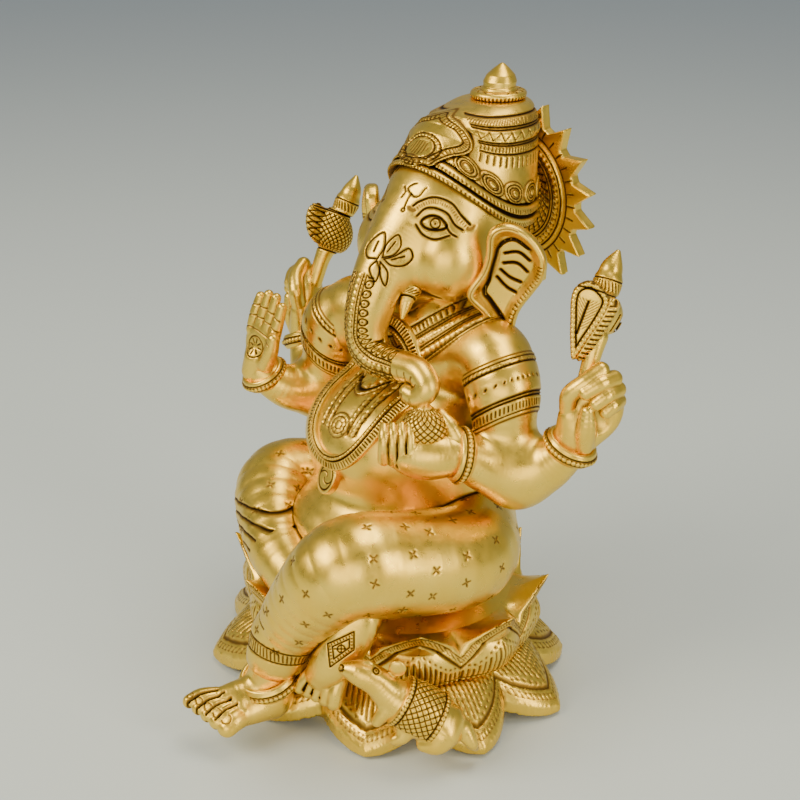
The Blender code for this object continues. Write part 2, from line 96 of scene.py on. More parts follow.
def smooth_curve(points, per, closed=False):
    """Catmull-Rom curve through the points, in any number of dimensions."""
    rows = np.asarray(points, dtype=np.float32)
    if closed:
        rows = np.vstack([rows[-1:], rows, rows[:2]])
    else:
        rows = np.vstack([2 * rows[:1] - rows[1:2], rows, 2 * rows[-1:] - rows[-2:-1]])
    t = (np.arange(per, dtype=np.float32) / per)[:, None]
    pieces = []
    for a, b, c, d in zip(rows, rows[1:], rows[2:], rows[3:]):
        pieces.append(0.5 * (2 * b + (c - a) * t + (2 * a - 5 * b + 4 * c - d) * t ** 2
                             + (3 * b - a - 3 * c + d) * t ** 3))
    pieces.append(rows[1:2] if closed else rows[-2:-1])
    return np.vstack(pieces)


def along(p, route):
    """Distance from each point to a polyline, and the length along it of the closest point."""
    best = np.full(len(p), 1e9, dtype=np.float32)
    place = np.zeros(len(p), dtype=np.float32)
    travelled = 0.0
    for a, b in zip(route, route[1:]):
        run = b - a
        length = float(np.linalg.norm(run))
        if length < 1e-6:
            continue
        t = clamp((p - a) @ run / length ** 2)
        gap = p - a - t[:, None] * run
        square = np.einsum("ij,ij->i", gap, gap)
        near = square < best
        best = np.where(near, square, best)
        place = np.where(near, travelled + t * length, place)
        travelled += length
    return np.sqrt(best), place


# ---- shapes as distance fields

def smooth_min(a, b, k):
    h = clamp(0.5 + 0.5 * (b - a) / k)
    return b + (a - b) * h - k * h * (1.0 - h)


def smooth_max(a, b, k):
    return -smooth_min(-a, -b, k)


def melt(k, first, *others):
    for other in others:
        first = smooth_min(first, other, k)
    return first


def mirrored(p, side):
    return p * vec(side, 1.0, 1.0)


def on_one_side(p):
    """The points, with those on the right brought over to the left."""
    q = p.copy()
    q[:, 0] = np.abs(q[:, 0])
    return q


def ellipsoid(p, centre, radii, rotation=None):
    q = p - vec(*centre)
    if rotation is not None:
        q = q @ rotation
    q = q / vec(*radii)
    reach = np.linalg.norm(q, axis=1)
    slope = np.linalg.norm(q / vec(*radii), axis=1)
    return reach * (reach - 1.0) / np.maximum(slope, 1e-5)


def limb(p, stations, per=5, want_place=False):
    """Round limb through stations (x, y, z, radius). Place is the length along its middle line."""
    rows = smooth_curve(stations, per)
    best = np.full(len(p), 1e9, dtype=np.float32)
    place = np.zeros(len(p), dtype=np.float32)
    travelled = 0.0
    for a, b in zip(rows, rows[1:]):
        run = b[:3] - a[:3]
        length = float(np.linalg.norm(run))
        t = clamp((p - a[:3]) @ run / max(length, 1e-6) ** 2)
        gap = p - a[:3] - t[:, None] * run
        distance = np.sqrt(np.einsum("ij,ij->i", gap, gap)) - (a[3] + (b[3] - a[3]) * t)
        near = distance < best
        best = np.where(near, distance, best)
        if want_place:
            place = np.where(near, travelled + t * length, place)
        travelled += length
    return (best, place) if want_place else best


def outline_distance(flat, outline):
    """Signed distance from points in a plane to a closed outline, negative inside."""
    distance, _ = along(flat, outline)
    inside = np.zeros(len(flat), dtype=bool)
    x, y = flat[:, 0], flat[:, 1]
    for (xa, ya), (xb, yb) in zip(outline, outline[1:]):
        if ya == yb:
            continue
        crosses = (ya > y) != (yb > y)
        inside ^= crosses & (x < (xb - xa) * (y - ya) / (yb - ya) + xa)
    return np.where(inside, -distance, distance)


def local(p, centre, normal, up=(0, 0, 1)):
    """Coordinates right, up and out of a plane that faces along the normal."""
    n = unit(normal)
    right = unit(np.cross(unit(up), n))
    q = p - vec(*centre)
    return np.stack([q @ right, q @ np.cross(n, right), q @ n], axis=1)


# ---- chasing

class Chasing:
    """What the chaser's tools add to a surface: height in millimetres and stain from 0 to 1."""

    def __init__(self, p):
        self.p = p
        self.height = np.zeros(len(p), dtype=np.float32)
        self.stain = np.zeros(len(p), dtype=np.float32)

    def darken(self, stain, keep):
        self.stain[keep] = np.maximum(self.stain[keep], stain)

    def groove(self, distance, width, depth, keep=EVERYWHERE, stain=1.0):
        """Cuts a line where distance is near zero."""
        self.height[keep] -= depth * clamp(1.0 - (distance / width) ** 2)
        self.darken(stain * np.exp(-(distance / (1.15 * width)) ** 2), keep)

    def lift(self, distance, height, keep, line=0.8):
        """Raises the area where distance is negative, and stains the foot of its edge."""
        self.height[keep] += height * clamp(0.5 - distance / 0.35)
        self.darken(np.exp(-((distance - 0.3) / 0.4) ** 2) * line, keep)

    def beads(self, distance, place, spacing, radius, height, keep=EVERYWHERE):
        """Round beads along a line, from the distance to it and the length along it."""
        reach = np.hypot(distance, fold(place, spacing)) / radius
        self.height[keep] += height * np.sqrt(clamp(1.0 - reach ** 2))
        band = np.abs(distance) < radius * 1.15
        self.darken(band * np.clip((reach - 0.75) * 1.5, 0.0, 0.85), keep)

    def hatch(self, inside, across, spacing, width, depth, keep=EVERYWHERE, stain=0.9):
        """Parallel cuts, where inside is negative, at every spacing of the coordinate across."""
        offset = fold(across, spacing)
        gate = clamp(-inside / 0.3)
        self.height[keep] -= depth * (clamp(1.0 - (offset / width) ** 2) * gate)
        self.darken(stain * np.exp(-(offset / (1.2 * width)) ** 2) * gate, keep)

    def strokes(self, keep, flat, lines, width, depth):
        """Grooves along smooth lines drawn in a plane."""
        for points in lines:
            distance, _ = along(flat, smooth_curve(points, 5))
            self.groove(distance, width, depth, keep)

    def patch(self, centre, normal, up=(0, 0, 1), reach=10.0, depth=None):
        """The points near a place, and their coordinates right and up in its tangent plane."""
        q = local(self.p, centre, normal, up)
        limit = reach if depth is None else depth
        keep = np.flatnonzero((q[:, 0] ** 2 + q[:, 1] ** 2 < reach ** 2) & (np.abs(q[:, 2]) < limit))
        return keep, q[keep, :2]


FLOWER_RADIUS = 1.9


def flower(chasing, centre, normal, spin):
    """Small four-petalled punch mark."""
    keep, flat = chasing.patch(centre, normal, reach=FLOWER_RADIUS * 1.6)
    if len(keep) == 0:
        return
    radius = np.hypot(flat[:, 0], flat[:, 1])
    angle = np.arctan2(flat[:, 1], flat[:, 0]) + spin
    across = radius * np.sin(np.abs(fold(angle, math.pi / 2)))
    beyond = np.maximum(np.abs(radius - FLOWER_RADIUS * 0.62) - FLOWER_RADIUS * 0.3, 0.0)
    chasing.groove(np.hypot(across, beyond), 0.38, 0.4, keep, stain=0.85)


def rosette(chasing, centre, normal, radius):
    """Round boss with an eye and eight petals cut around it."""
    keep, flat = chasing.patch(centre, normal, reach=radius * 1.5, depth=radius * 1.2)
    reach = np.hypot(flat[:, 0], flat[:, 1])
    angle = np.arctan2(flat[:, 1], flat[:, 0])
    chasing.lift(reach - radius, 0.5, keep)
    chasing.groove(reach - radius * 0.72, 0.28, 0.35, keep)
    chasing.groove(reach - radius * 0.34, 0.25, 0.35, keep)
    offset = fold(angle * 8 / (2 * math.pi), 1.0) * 2 * math.pi / 8
    between = np.abs(reach - radius * 0.53) - radius * 0.17
    chasing.groove(np.hypot(reach * np.sin(offset), np.maximum(between, 0.0)), 0.22, 0.3, keep, stain=0.8)


def cross_hatch(chasing, inside, around, up, spacing, width, depth):
    """Two sets of slanting cuts that leave diamonds."""
    chasing.hatch(inside, around + up, spacing, width, depth)
    chasing.hatch(inside, around - up, spacing, width, depth)


# ---- from field to mesh

def block_mean(values, factor):
    shape = [n // factor for n in values.shape]
    trimmed = values[:shape[0] * factor, :shape[1] * factor, :shape[2] * factor]
    return trimmed.reshape(shape[0], factor, shape[1], factor, shape[2], factor).mean(axis=(1, 3, 5))


def box_blur(values):
    """Mean over 3 by 3 by 3 cells."""
    for axis in range(3):
        padded = np.pad(values, [(1, 1) if a == axis else (0, 0) for a in range(3)], mode="edge")
        count = values.shape[axis]
        values = sum(np.take(padded, np.arange(i, i + count), axis=axis) for i in range(3)) / 3.0
    return values


def sample(values, index):
    """Trilinear reading of a grid at fractional indices."""
    top = np.array(values.shape) - 1.001
    index = np.clip(index, 0.0, top)
    base = index.astype(int)
    share = index - base
    total = 0.0
    for corner in range(8):
        step = np.array([corner & 1, corner >> 1 & 1, corner >> 2 & 1])
        weight = np.prod(np.where(step, share, 1.0 - share), axis=1)
        i, j, k = (base + step).T
        total = total + weight * values[i, j, k]
    return total


RELIEF_REACH = 1.6          # how much farther from a chased surface the fine blocks go


def field_grid(low, high, voxel, shape, relief):
    """Samples a field on a grid, finely only in the blocks that its surface can touch."""
    step = voxel * BLOCK
    origin = vec(*low) - step
    counts = np.ceil((vec(*high) + step - origin) / step).astype(int)
    axes = [origin[a] + step * (np.arange(counts[a], dtype=np.float32) + 0.5) for a in range(3)]
    centres = np.stack(np.meshgrid(*axes, indexing="ij"), axis=-1).reshape(-1, 3)
    coarse = shape(centres).astype(np.float32).reshape(counts)
    reach = step * 0.87 + 2.0 * voxel + (RELIEF_REACH if relief else 0.0)
    bi, bj, bk = np.nonzero(np.abs(coarse) < reach)
    offsets = voxel * (np.arange(BLOCK, dtype=np.float32) + 0.5)
    cell = np.stack(np.meshgrid(offsets, offsets, offsets, indexing="ij"), axis=-1).reshape(1, -1, 3)
    corner = origin + step * np.stack([bi, bj, bk], axis=1).astype(np.float32)
    p = (corner[:, None, :] + cell).reshape(-1, 3)
    d = shape(p).astype(np.float32)
    if relief:
        near = np.flatnonzero(np.abs(d) < RELIEF_REACH + 1.0)
        chasing = Chasing(p[near])
        relief(chasing)
        d[near] -= chasing.height
    dense = np.empty((counts[0], BLOCK, counts[1], BLOCK, counts[2], BLOCK), dtype=np.float32)
    dense[...] = coarse[:, None, :, None, :, None]
    dense[bi, :, bj, :, bk, :] = d.reshape(-1, BLOCK, BLOCK, BLOCK)
    return dense.reshape(counts * BLOCK), origin


def hollow_stain(dense, index, voxel):
    """Stain in crevices: where the solid around a point fills more than half of the space."""
    total = 0.0
    for factor, strength in ((2, 1.5), (4, 0.7)):
        blurred = box_blur(block_mean(np.clip(dense, -6.0, 6.0), factor))
        reading = sample(blurred, (index + 0.5) / factor - 0.5)
        total = total + strength * clamp(-reading / (voxel * factor) - 0.05)
    return total


def sculpt(name, low, high, voxel, shape, relief=None, beside=(), wear=1.0):
    """Makes one casting from its field, rides it on the frame and stands it in for its node."""
    voxel = voxel * GRAIN
    dense, origin = field_grid(low, high, voxel, shape, relief)
    grid = openvdb.FloatGrid()
    grid.copyFromArray(dense)
    index, quads = grid.convertToQuads(isovalue=0.0)
    p = (origin + voxel * (index + 0.5)).astype(np.float32)
    stain = hollow_stain(dense, index, voxel)
    if relief:
        chasing = Chasing(p)
        relief(chasing)
        stain = np.maximum(stain, chasing.stain)
    for other in beside:
        stain = np.maximum(stain, 0.95 * np.exp(-(np.maximum(other(p), -0.2) / 0.9) ** 2))
    obj = mesh_object(name, p * MM, quads)
    # stain: patina in grooves and crevices, and painted shade in the mouth hollow
    attribute = obj.data.attributes.new("stain", "FLOAT", "POINT")
    attribute.data.foreach_set("value", clamp(stain * wear).astype(np.float32))
    obj.data.materials.append(BRASS)
    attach(obj, "root")
    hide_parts(name)


def mesh_object(name, points, quads):
    mesh = bpy.data.meshes.new(name)
    mesh.vertices.add(len(points))
    mesh.vertices.foreach_set("co", points.astype(np.float32).ravel())
    mesh.loops.add(quads.size)
    mesh.loops.foreach_set("vertex_index", quads[:, ::-1].astype(np.int32).ravel())
    mesh.polygons.add(len(quads))
    mesh.polygons.foreach_set("loop_start", np.arange(0, quads.size, 4, dtype=np.int32))
    mesh.update(calc_edges=True)
    mesh.validate()
    mesh.shade_smooth()
    obj = bpy.data.objects.new(name, mesh)
    bpy.context.scene.collection.objects.link(obj)
    return obj


# ---- brass

YELLOW_BRASS, GOLDEN_BRASS = (0.91, 0.595, 0.07), (0.94, 0.655, 0.10)
WORN_BROWN, PATINA_AND_SHADE = (0.36, 0.20, 0.035), (0.022, 0.011, 0.004)


def brass_material():
    """Satin brass: polished ridges, brown patina in the grooves, painted shade in the mouth hollow, fine
    brushing and small dents.
    """
    material = bpy.data.materials.new("satin_brass")
    material.use_nodes = True
    nodes, links = material.node_tree.nodes, material.node_tree.links
    shader = nodes["Principled BSDF"]
    shader.inputs["Metallic"].default_value = 1.0

    place = nodes.new("ShaderNodeTexCoord")
    stain = nodes.new("ShaderNodeAttribute")
    stain.attribute_name = "stain"

    def noise(scale, detail):
        node = nodes.new("ShaderNodeTexNoise")
        node.inputs["Scale"].default_value = scale
        node.inputs["Detail"].default_value = detail
        links.new(place.outputs["Object"], node.inputs["Vector"])
        return node.outputs["Fac"]

    def ramp(value, low, high, at_low, at_high):
        node = nodes.new("ShaderNodeMapRange")
        node.inputs["From Min"].default_value = low
        node.inputs["From Max"].default_value = high
        node.inputs["To Min"].default_value = at_low
        node.inputs["To Max"].default_value = at_high
        links.new(value, node.inputs["Value"])
        return node.outputs["Result"]

    def math_node(operation, a, b):
        node = nodes.new("ShaderNodeMath")
        node.operation = operation
        node.use_clamp = operation == "ADD"
        links.new(a, node.inputs[0])
        links.new(b, node.inputs[1])
        return node.outputs["Value"]

    def mix(factor, a, b):
        node = nodes.new("ShaderNodeMix")
        node.data_type = "RGBA"
        links.new(factor, node.inputs["Factor"])
        for socket, colour in ((node.inputs[6], a), (node.inputs[7], b)):
            if isinstance(colour, tuple):
                socket.default_value = (*colour, 1.0)
            else:
                links.new(colour, socket)
        return node.outputs[2]

    mottle = noise(90.0, 4.0)
    speckle = noise(700.0, 3.0)
    spots = math_node("MULTIPLY", ramp(mottle, 0.60, 0.85, 0.0, 0.12), ramp(speckle, 0.50, 0.70, 0.0, 1.0))
    # The stain attribute and the random spots: patina and dirt, and painted shade in the mouth hollow
    dirt_and_shade = math_node("ADD", stain.outputs["Fac"], spots)
    metal = mix(ramp(mottle, 0.3, 0.7, 0.0, 1.0), YELLOW_BRASS, GOLDEN_BRASS)
    worn = mix(ramp(dirt_and_shade, 0.05, 0.55, 0.0, 1.0), metal, WORN_BROWN)
    colour = mix(ramp(dirt_and_shade, 0.50, 0.95, 0.0, 1.0), worn, PATINA_AND_SHADE)
    links.new(colour, shader.inputs["Base Color"])
    polish = math_node("ADD", ramp(dirt_and_shade, 0.1, 0.9, 0.0, 0.32), ramp(noise(260.0, 5.0), 0.3, 0.75, 0.25, 0.40))
    links.new(polish, shader.inputs["Roughness"])

    def bump(height, distance, strength):
        node = nodes.new("ShaderNodeBump")
        node.inputs["Distance"].default_value = distance
        node.inputs["Strength"].default_value = strength
        links.new(height, node.inputs["Height"])
        return node

    hammered = bump(noise(150.0, 2.0), 0.0006, 0.10)
    brushed = bump(noise(1900.0, 3.0), 0.00012, 0.35)
    links.new(hammered.outputs["Normal"], brushed.inputs["Normal"])
    links.new(brushed.outputs["Normal"], shader.inputs["Normal"])
    return material


BRASS = brass_material()


# ---- sharing one surface between castings

def sink(field, beyond, reach, slope=0.3):
    """Lets a shared surface dip slowly under its neighbour beyond the seam, and ends it at reach."""
    return np.maximum(field + slope * np.maximum(beyond, 0.0), beyond - reach)


def share_of(field, own, others, slope=0.3):
    """The part of a shared field nearer to its own limb."""
    nearest = others[0]
    for other in others[1:]:
        nearest = np.minimum(nearest, other)
    return sink(field, 0.5 * (own - nearest), 7.0, slope)


# ---- lotus

HALF_WIDTH, HALF_DEPTH = 85.7, 72.5
MEAN_HALF = 0.5 * (HALF_WIDTH + HALF_DEPTH)
LOWER_TOP = 24.0
PETALS = 10
FLUTE = 2.3                 # mm between the cuts in a petal's panel
SEAT_SHARE = 0.66           # the seat's share of the base's radius
SEAT_TOP = 43.5


def petal_place(p, offset):
    """Share of the base's radius, way from petal middle (0) to notch (1), and mm across the petal."""
    x, y = p[:, 0] / HALF_WIDTH, p[:, 1] / HALF_DEPTH
    rho = np.hypot(x, y)
    turns = (np.arctan2(y, x) - math.radians(offset)) * PETALS / (2 * math.pi)
    off = fold(turns, 1.0)
    return rho, np.abs(off) * 2.0, off * 2 * math.pi / PETALS * rho * MEAN_HALF


def lower_petals(p):
    """Solid of the drooping lower petals, mm inward from their outline and across them, and radius share."""
    rho, u, across = petal_place(p, 90.0)
    point = 1.0 - 0.62 * u - 0.38 * u ** 2
    outline = 0.825 + 0.178 * point
    edge_height = 5.0 + 7.5 * (1.0 - point)
    inward = clamp((outline - rho) / (outline - 0.72))
    ridge = 1.3 * point * np.sin(math.pi * inward)
    top = edge_height + (LOWER_TOP - edge_height) * (1.0 - (1.0 - inward) ** 1.35) + ridge
    under = 1.2 + 4.5 * clamp((0.97 - rho) / 0.15) - 9.0 * clamp((0.78 - rho) / 0.05)
    z = p[:, 2]
    inset = (outline - rho) * MEAN_HALF * 0.84
    body = smooth_max((z - top) * 0.70, -inset, 1.0)
    body = smooth_max(body, (under - z) * 0.8, 0.8)
    return np.maximum(np.maximum(body, -z), z - LOWER_TOP + 0.2), inset, across, rho


def lower_part(p):
    return lower_petals(p)[0]


def chase_lower(c):
    _, inset, across, rho = lower_petals(c.p)
    keep = np.flatnonzero((c.p[:, 2] > 4.0) & (inset > 0.3) & (rho > 0.70))
    e, w, r = inset[keep], across[keep], rho[keep]
    c.groove(e - 4.6, 0.55, 0.9, keep)
    c.lift(e - 4.4, -0.25, keep, line=0.0)
    c.beads(e - 2.3, w, 1.9, 0.72, 0.35, keep)
    length = 0.79 + 0.125 * clamp(1.0 - np.abs(w) / 13.0)
    panel = np.maximum(r - length, 5.6 / MEAN_HALF - e / MEAN_HALF) * MEAN_HALF
    c.hatch(panel, w, FLUTE, 0.36, 0.6, keep)
    dot = np.hypot(fold(w, FLUTE), (r - length) * MEAN_HALF - 1.6)
    c.groove(np.where(e > 5.4, dot, FAR), 0.55, 0.6, keep)


def upper_petals(p):
    """Solid of the upper petals and their seat, then where each point is.

    That is its share of the base's radius, mm under the rim, mm across the petal, and how much of the
    radius it is off the wall.
    """
    rho, u, across = petal_place(p, 72.0)
    z = p[:, 2]
    point = 1.0 - 0.80 * u - 0.20 * u ** 2
    belly = np.maximum(np.sin(clamp((z - 22.0) / 18.0) * math.pi), 0.0)
    lean = np.clip((z - 30.0) / 22.0, 0.0, 1.2)
    wall = 0.750 + 0.050 * point * belly ** 0.8 + 0.020 * belly + 0.120 * point * lean ** 1.1
    edge = 37.0 + 16.0 * point
    rim = 0.757 + 0.120 * point
    inward = clamp((rim - rho) / (rim - SEAT_SHARE))
    seat = SEAT_TOP + 11.0 * clamp(1.0 - (rho / SEAT_SHARE) ** 2)
    bowl = edge + (SEAT_TOP - edge) * (1.0 - (1.0 - inward) ** 1.15)
    top = np.where(rho < SEAT_SHARE, seat, bowl)
    body = smooth_max((rho - wall) * MEAN_HALF * 0.90, (z - top) * 0.66, 0.9)
    return np.maximum(body, LOWER_TOP + 0.2 - z), rho, (edge - z) * 0.8, across, rho - wall


def chase_upper(c):
    _, _, inset, across, beyond = upper_petals(c.p)
    wall = np.flatnonzero((beyond > -0.016) & (inset > 0.4))
    e, w, z = inset[wall], across[wall], c.p[wall, 2]
    c.groove(e - 5.2, 0.6, 1.0, wall)
    c.groove(e - 1.6, 0.3, 0.35, wall)
    c.hatch(np.abs(e - 2.9) - 1.0, w + 0.6 * z, 1.25, 0.28, 0.35, wall)
    height = 30.0 + 9.0 * clamp(1.0 - np.abs(w) / 13.0)
    c.hatch(np.maximum(z - height, 6.4 - e), w, FLUTE, 0.40, 0.7, wall)
    dot = np.hypot(fold(w, FLUTE), z - height - 1.7)
    c.groove(np.where(e > 6.4, dot, FAR), 0.55, 0.6, wall)
    c.groove(z - 25.6, 0.4, 0.6, wall)


def upper_part(facing):
    """The seat (facing 1) or the petals (facing -1) of the upper solid."""
    def shape(p):
        body, rho, *_ = upper_petals(p)
        return sink(body, facing * (rho - SEAT_SHARE) * MEAN_HALF, 4.0)
    return shape


# ---- trunk of the body and limbs

UPPER_ARM = ((42.5, 20, 147, 14.8), (50.5, 15.5, 139.5, 14.4), (54, 14.5, 123, 12.2), (60, 15.5, 107, 13.0))
BACK_FOREARM = ((60, 16, 106.5, 12.8), (71, 19, 112, 10.4), (80.2, 22.8, 122.4, 7.6), (81, 24, 126, 7.2))
LEFT_FOREARM = ((60, 13, 107, 12.6), (55, 2, 112, 10.6), (50, -7, 117.5, 8.0), (48, -10, 119, 7.4))
RIGHT_FOREARM = ((-59.5, 13, 107, 12.2), (-62, -2, 111, 10.0), (-68, -11.5, 118, 7.2), (-68.5, -12, 122, 6.4))
LEFT_LEG = ((30, 18, 73, 20.5), (49, -3, 72, 20.8), (45, -34, 77.5, 21), (37, -55, 80, 20),
            (22, -63, 61, 16), (10, -66, 41, 12.5), (8.5, -69, 34, 11))
RIGHT_LEG = ((-30, 22, 71, 21), (-45, 0, 69, 20.5), (-51.5, -17, 69, 20), (-24, -40, 60, 14),
             (4, -47, 53, 11.5), (22, -48, 52, 9.5))


def torso_mass(p):
    q = on_one_side(p)
    return melt(9.0, ellipsoid(p, (0, 10, 107), (42, 42, 30)), ellipsoid(p, (0, 14, 86), (43, 39, 26)),
                ellipsoid(p, (0, -10, 71), (40, 30, 16)),
                ellipsoid(p, (0, 24, 142), (38, 25, 26)), ellipsoid(q, (34, 22, 149.5), (14.5, 15, 13.5)),
                limb(p, ((0, 26, 150, 21), (0, 31, 176, 15.5))))


def arm_masses(p, side):
    """Distances to the torso, upper arm, back forearm and front forearm of one side."""
    q = mirrored(p, side)
    front = limb(p, LEFT_FOREARM if side > 0 else RIGHT_FOREARM, 8)
    return [torso_mass(p), limb(q, UPPER_ARM), limb(q, BACK_FOREARM, 8), front]


def arm_part(side, which):
    """One of the arm_masses, as a part of the skin that they share. Forearms leave the torso out."""
    def shape(p):
        masses = arm_masses(p, side)
        field = melt(6.0, *masses[0 if which < 2 else 1:])
        own = masses.pop(which)
        return share_of(field, own, masses)
    return shape


def torso_shape(p):
    torso = torso_mass(p)
    arms = [limb(mirrored(p, side), UPPER_ARM) for side in (1, -1)]
    field = melt(6.0, torso, *arms)
    return share_of(field, torso, arms)


def left_leg_shape(p):
    folds = limb(p, LEFT_LEG)
    shin_hem = limb(p, ((10.5, -66.5, 43, 13.4), (9, -68.5, 36, 12.6)))
    return smooth_min(folds, shin_hem, 2.0)


def right_leg_shape(p):
    return limb(p, RIGHT_LEG)


# ---- head

TRUNK = ((0, 12, 194, 14.5), (0, 1, 183, 12.4), (0, -8, 170, 10.2), (0, -11.5, 157, 8.7),
         (3.5, -11.5, 148.5, 7.9), (12, -11, 146.3, 6.9), (22, -11, 147.6, 6.1), (31, -11.5, 147.8, 5.6),
         (36.8, -12.8, 144, 5.1), (34.5, -15, 139.6, 4.5), (29.5, -16, 140.3, 3.7))


def skull(p):
    q = on_one_side(p)
    return melt(8.0, ellipsoid(p, (1.5, 37, 198), (27, 28.5, 29)),
                ellipsoid(p, (2.5, 24.5, 205), (19.5, 18.5, 16)),
                ellipsoid(q, (16.5, 19.5, 184), (14.5, 16.5, 17)),
                limb(p, ((0, 24, 192, 17), (0, 14, 180, 14))))


def mouth_hollow(p):
    q = on_one_side(p)
    return limb(q, ((5, 0.5, 169.5, 4.2), (11, 3.5, 169, 4.2), (18, 10, 169, 1.8)))


def face_field(p):
    """Skull and trunk as one skin, with a mouth hollow under each cheek, and both of their masses."""
    head, trunk = skull(p), limb(p, TRUNK, 9)
    return smooth_max(smooth_min(head, trunk, 7.0), -mouth_hollow(p), 2.0), head, trunk


def head_shape(p):
    field, head, trunk = face_field(p)
    return share_of(field, head, [trunk], slope=0.2)


def trunk_shape(p):
    field, head, trunk = face_field(p)
    nostril = ellipsoid(p, (26.8, -16.6, 140.8), (2.4, 1.5, 1.7))
    return smooth_max(share_of(field, trunk, [head], slope=0.2), -nostril, 0.8)


EAR_OUTLINE = ((-8.5, 28), (-2, 27.2), (4.6, 22.5), (9, 15), (8.4, 7), (4.4, 0), (-1.2, -9), (-3.8, -22),
               (-6.2, -26), (-9, -21.5), (-14.5, -11), (-21, -3.7), (-21.3, 1), (-16.5, 8.5), (-14.6, 15),
               (-13.8, 24))


def ear_place(p, side):
    """Right, up and out of the ear's plane, curved a little like a leaf."""
    q = mirrored(p, side)
    e = q - vec(44, 32, 174)
    u = e @ vec(0.77, 0.638, 0)
    w = e @ vec(0.638, -0.77, 0)
    return u, e[:, 2], w - 0.012 * (u + 6.0) ** 2 - 0.0025 * e[:, 2] ** 2 + 1.6


def ear_shape(side):
    outline = smooth_curve(EAR_OUTLINE, 4, closed=True)

    def shape(p):
        u, v, w = ear_place(p, side)
        flat = outline_distance(np.stack([u, v], axis=1), outline)
        dish = 1.9 * clamp((-flat - 2.6) / 3.0)
        front = w - 2.3 - 1.5 * np.exp(-((flat + 2.0) / 1.9) ** 2) + dish
        return smooth_max(smooth_max(flat, front, 1.8), -w - 2.2, 1.8)
    return shape


EAR_RIBS = (((-7.4, 15.5), (-2, 16.2), (2.6, 13)), ((-7.8, 11.4), (-2.5, 11.6), (1.8, 8.3)),
            ((-8.8, 8.6), (-5.2, 5.6), (-0.7, 3.8)), ((-10.2, 5.6), (-6.5, 1.6), (-2.7, -0.5)))
EAR_FOLD = (((2.4, 17.8), (-3.8, 21.4), (-9.2, 19), (-11, 13.6), (-13.2, 4.8), (-15, -0.5), (-12.4, -4.4),
             (-6.6, -13)),)


def chase_ear(side):
    outline = smooth_curve(EAR_OUTLINE, 4, closed=True)

    def relief(c):
        u, v, w = ear_place(c.p, side)
        flat = np.stack([u, v], axis=1)
        distance = outline_distance(flat, outline)
        front = np.flatnonzero(w > -0.8)
        d = distance[front]
        c.strokes(front, flat[front], EAR_FOLD, 0.9, 1.2)
        c.groove(np.where(u[front] < -2, d + 1.6, FAR), 0.3, 0.35, front, stain=0.7)
        _, place = along(flat[front], outline)
        lower = np.where((v[front] < 12) & (u[front] > -9), -1.0, 1.0)
        c.hatch(np.maximum(np.abs(d + 2.5) - 1.1, lower), place, 1.7, 0.28, 0.3, front)
        c.strokes(front, flat[front], EAR_RIBS, 0.7, 0.9)
        back = np.flatnonzero(w < -0.3)
        c.groove(distance[back] + 4.4, 0.6, 0.5, back, stain=0.7)
    return relief


def tusk_shape(side, length):
    """Tusk that leaves a rolled lip. Length 1 is whole, and less is broken off."""
    def shape(p):
        q = mirrored(p, side)
        tip = (10.6 + 1.4 * length, 0.2 - 3.0 * length, 168.8 - 5.4 * length, 1.0)
        tusk = limb(q, ((9.6, 4, 173.5, 3.6), (10.6, 0.4, 168.8, 2.9), tip))
        lip = limb(q, ((9.0, 6.5, 176.5, 5.0), (10.2, 2.6, 172.2, 4.2)))
        return smooth_min(tusk, lip, 0.7)
    return shape


def chase_tusk(side):
    def relief(c):
        q = mirrored(c.p, side) - vec(10.2, 2.6, 172.2)
        height = q @ unit((-0.3, 0.62, 0.72))
        angle = np.arctan2(q[:, 0], q[:, 2])
        c.groove(height + 2.6, 0.35, 0.6)
        c.hatch(np.abs(height + 0.6) - 1.4, angle * 5.0, 1.4, 0.3, 0.35)
        c.groove(height - 1.8, 0.3, 0.4)
    return relief


EYE_LINES = (((-8.5, 5.8), (-5.5, 7.8), (0, 9.4), (6.4, 7.3), (10.4, 2.5), (14, -1.2)),
             ((-7, 2), (-3.7, 4.9), (0, 5.3), (4.9, 3.3), (7.8, -0.8), (11.2, -3.1)),
             ((-7.3, -1.2), (-4.5, -4.9), (0, -6.5), (6.0, -4.9)), ((4.6, -1.6), (6.4, -4.0), (8.8, -5.4)))
EYE_ALMOND = ((-5.2, 0), (-2, 2.2), (2, 1.6), (4.9, -1.7), (1.3, -3.0), (-3.3, -2.4))
CURLS = (((0, -5.5), (0.6, -2.4), (1.6, 1.2)), ((1.6, 1.2), (-0.8, 3.6), (1.4, 5.8), (3.4, 6.4)),
         ((1.6, 1.2), (4.0, 0), (6.2, 1.0), (7.4, 3.4), (8.6, 5.0)), ((-2.8, -0.6), (-1.6, 2.2), (-3.2, 4.6)))
LOTUS_MARK = (((-0.8, 0), (-5.3, 0.8), (-6, 5), (-2.4, 9.2), (1, 10.5), (1.6, 5), (-0.8, 0)),
              ((1.2, 0.6), (2.4, 6), (6.5, 10), (8, 6), (5.5, 2), (1.2, 0.6)),
              ((1.8, 0), (6, 1.6), (11, 5.0), (12.6, 1.6), (9.6, -1.6), (5, -2.2), (1.8, 0)),
              ((3, 3), (5.8, 7.2)), ((4.8, 0), (9.6, 1.8)), ((-2.6, 3), (-1.2, 7)),
              ((-1, -0.7), (-3.7, -4), (-1, -9), (0.4, -4.6), (-1, -0.7)),
              ((0.4, -1), (0.9, -6.5), (3, -10.2), (3.6, -5), (0.4, -1)))


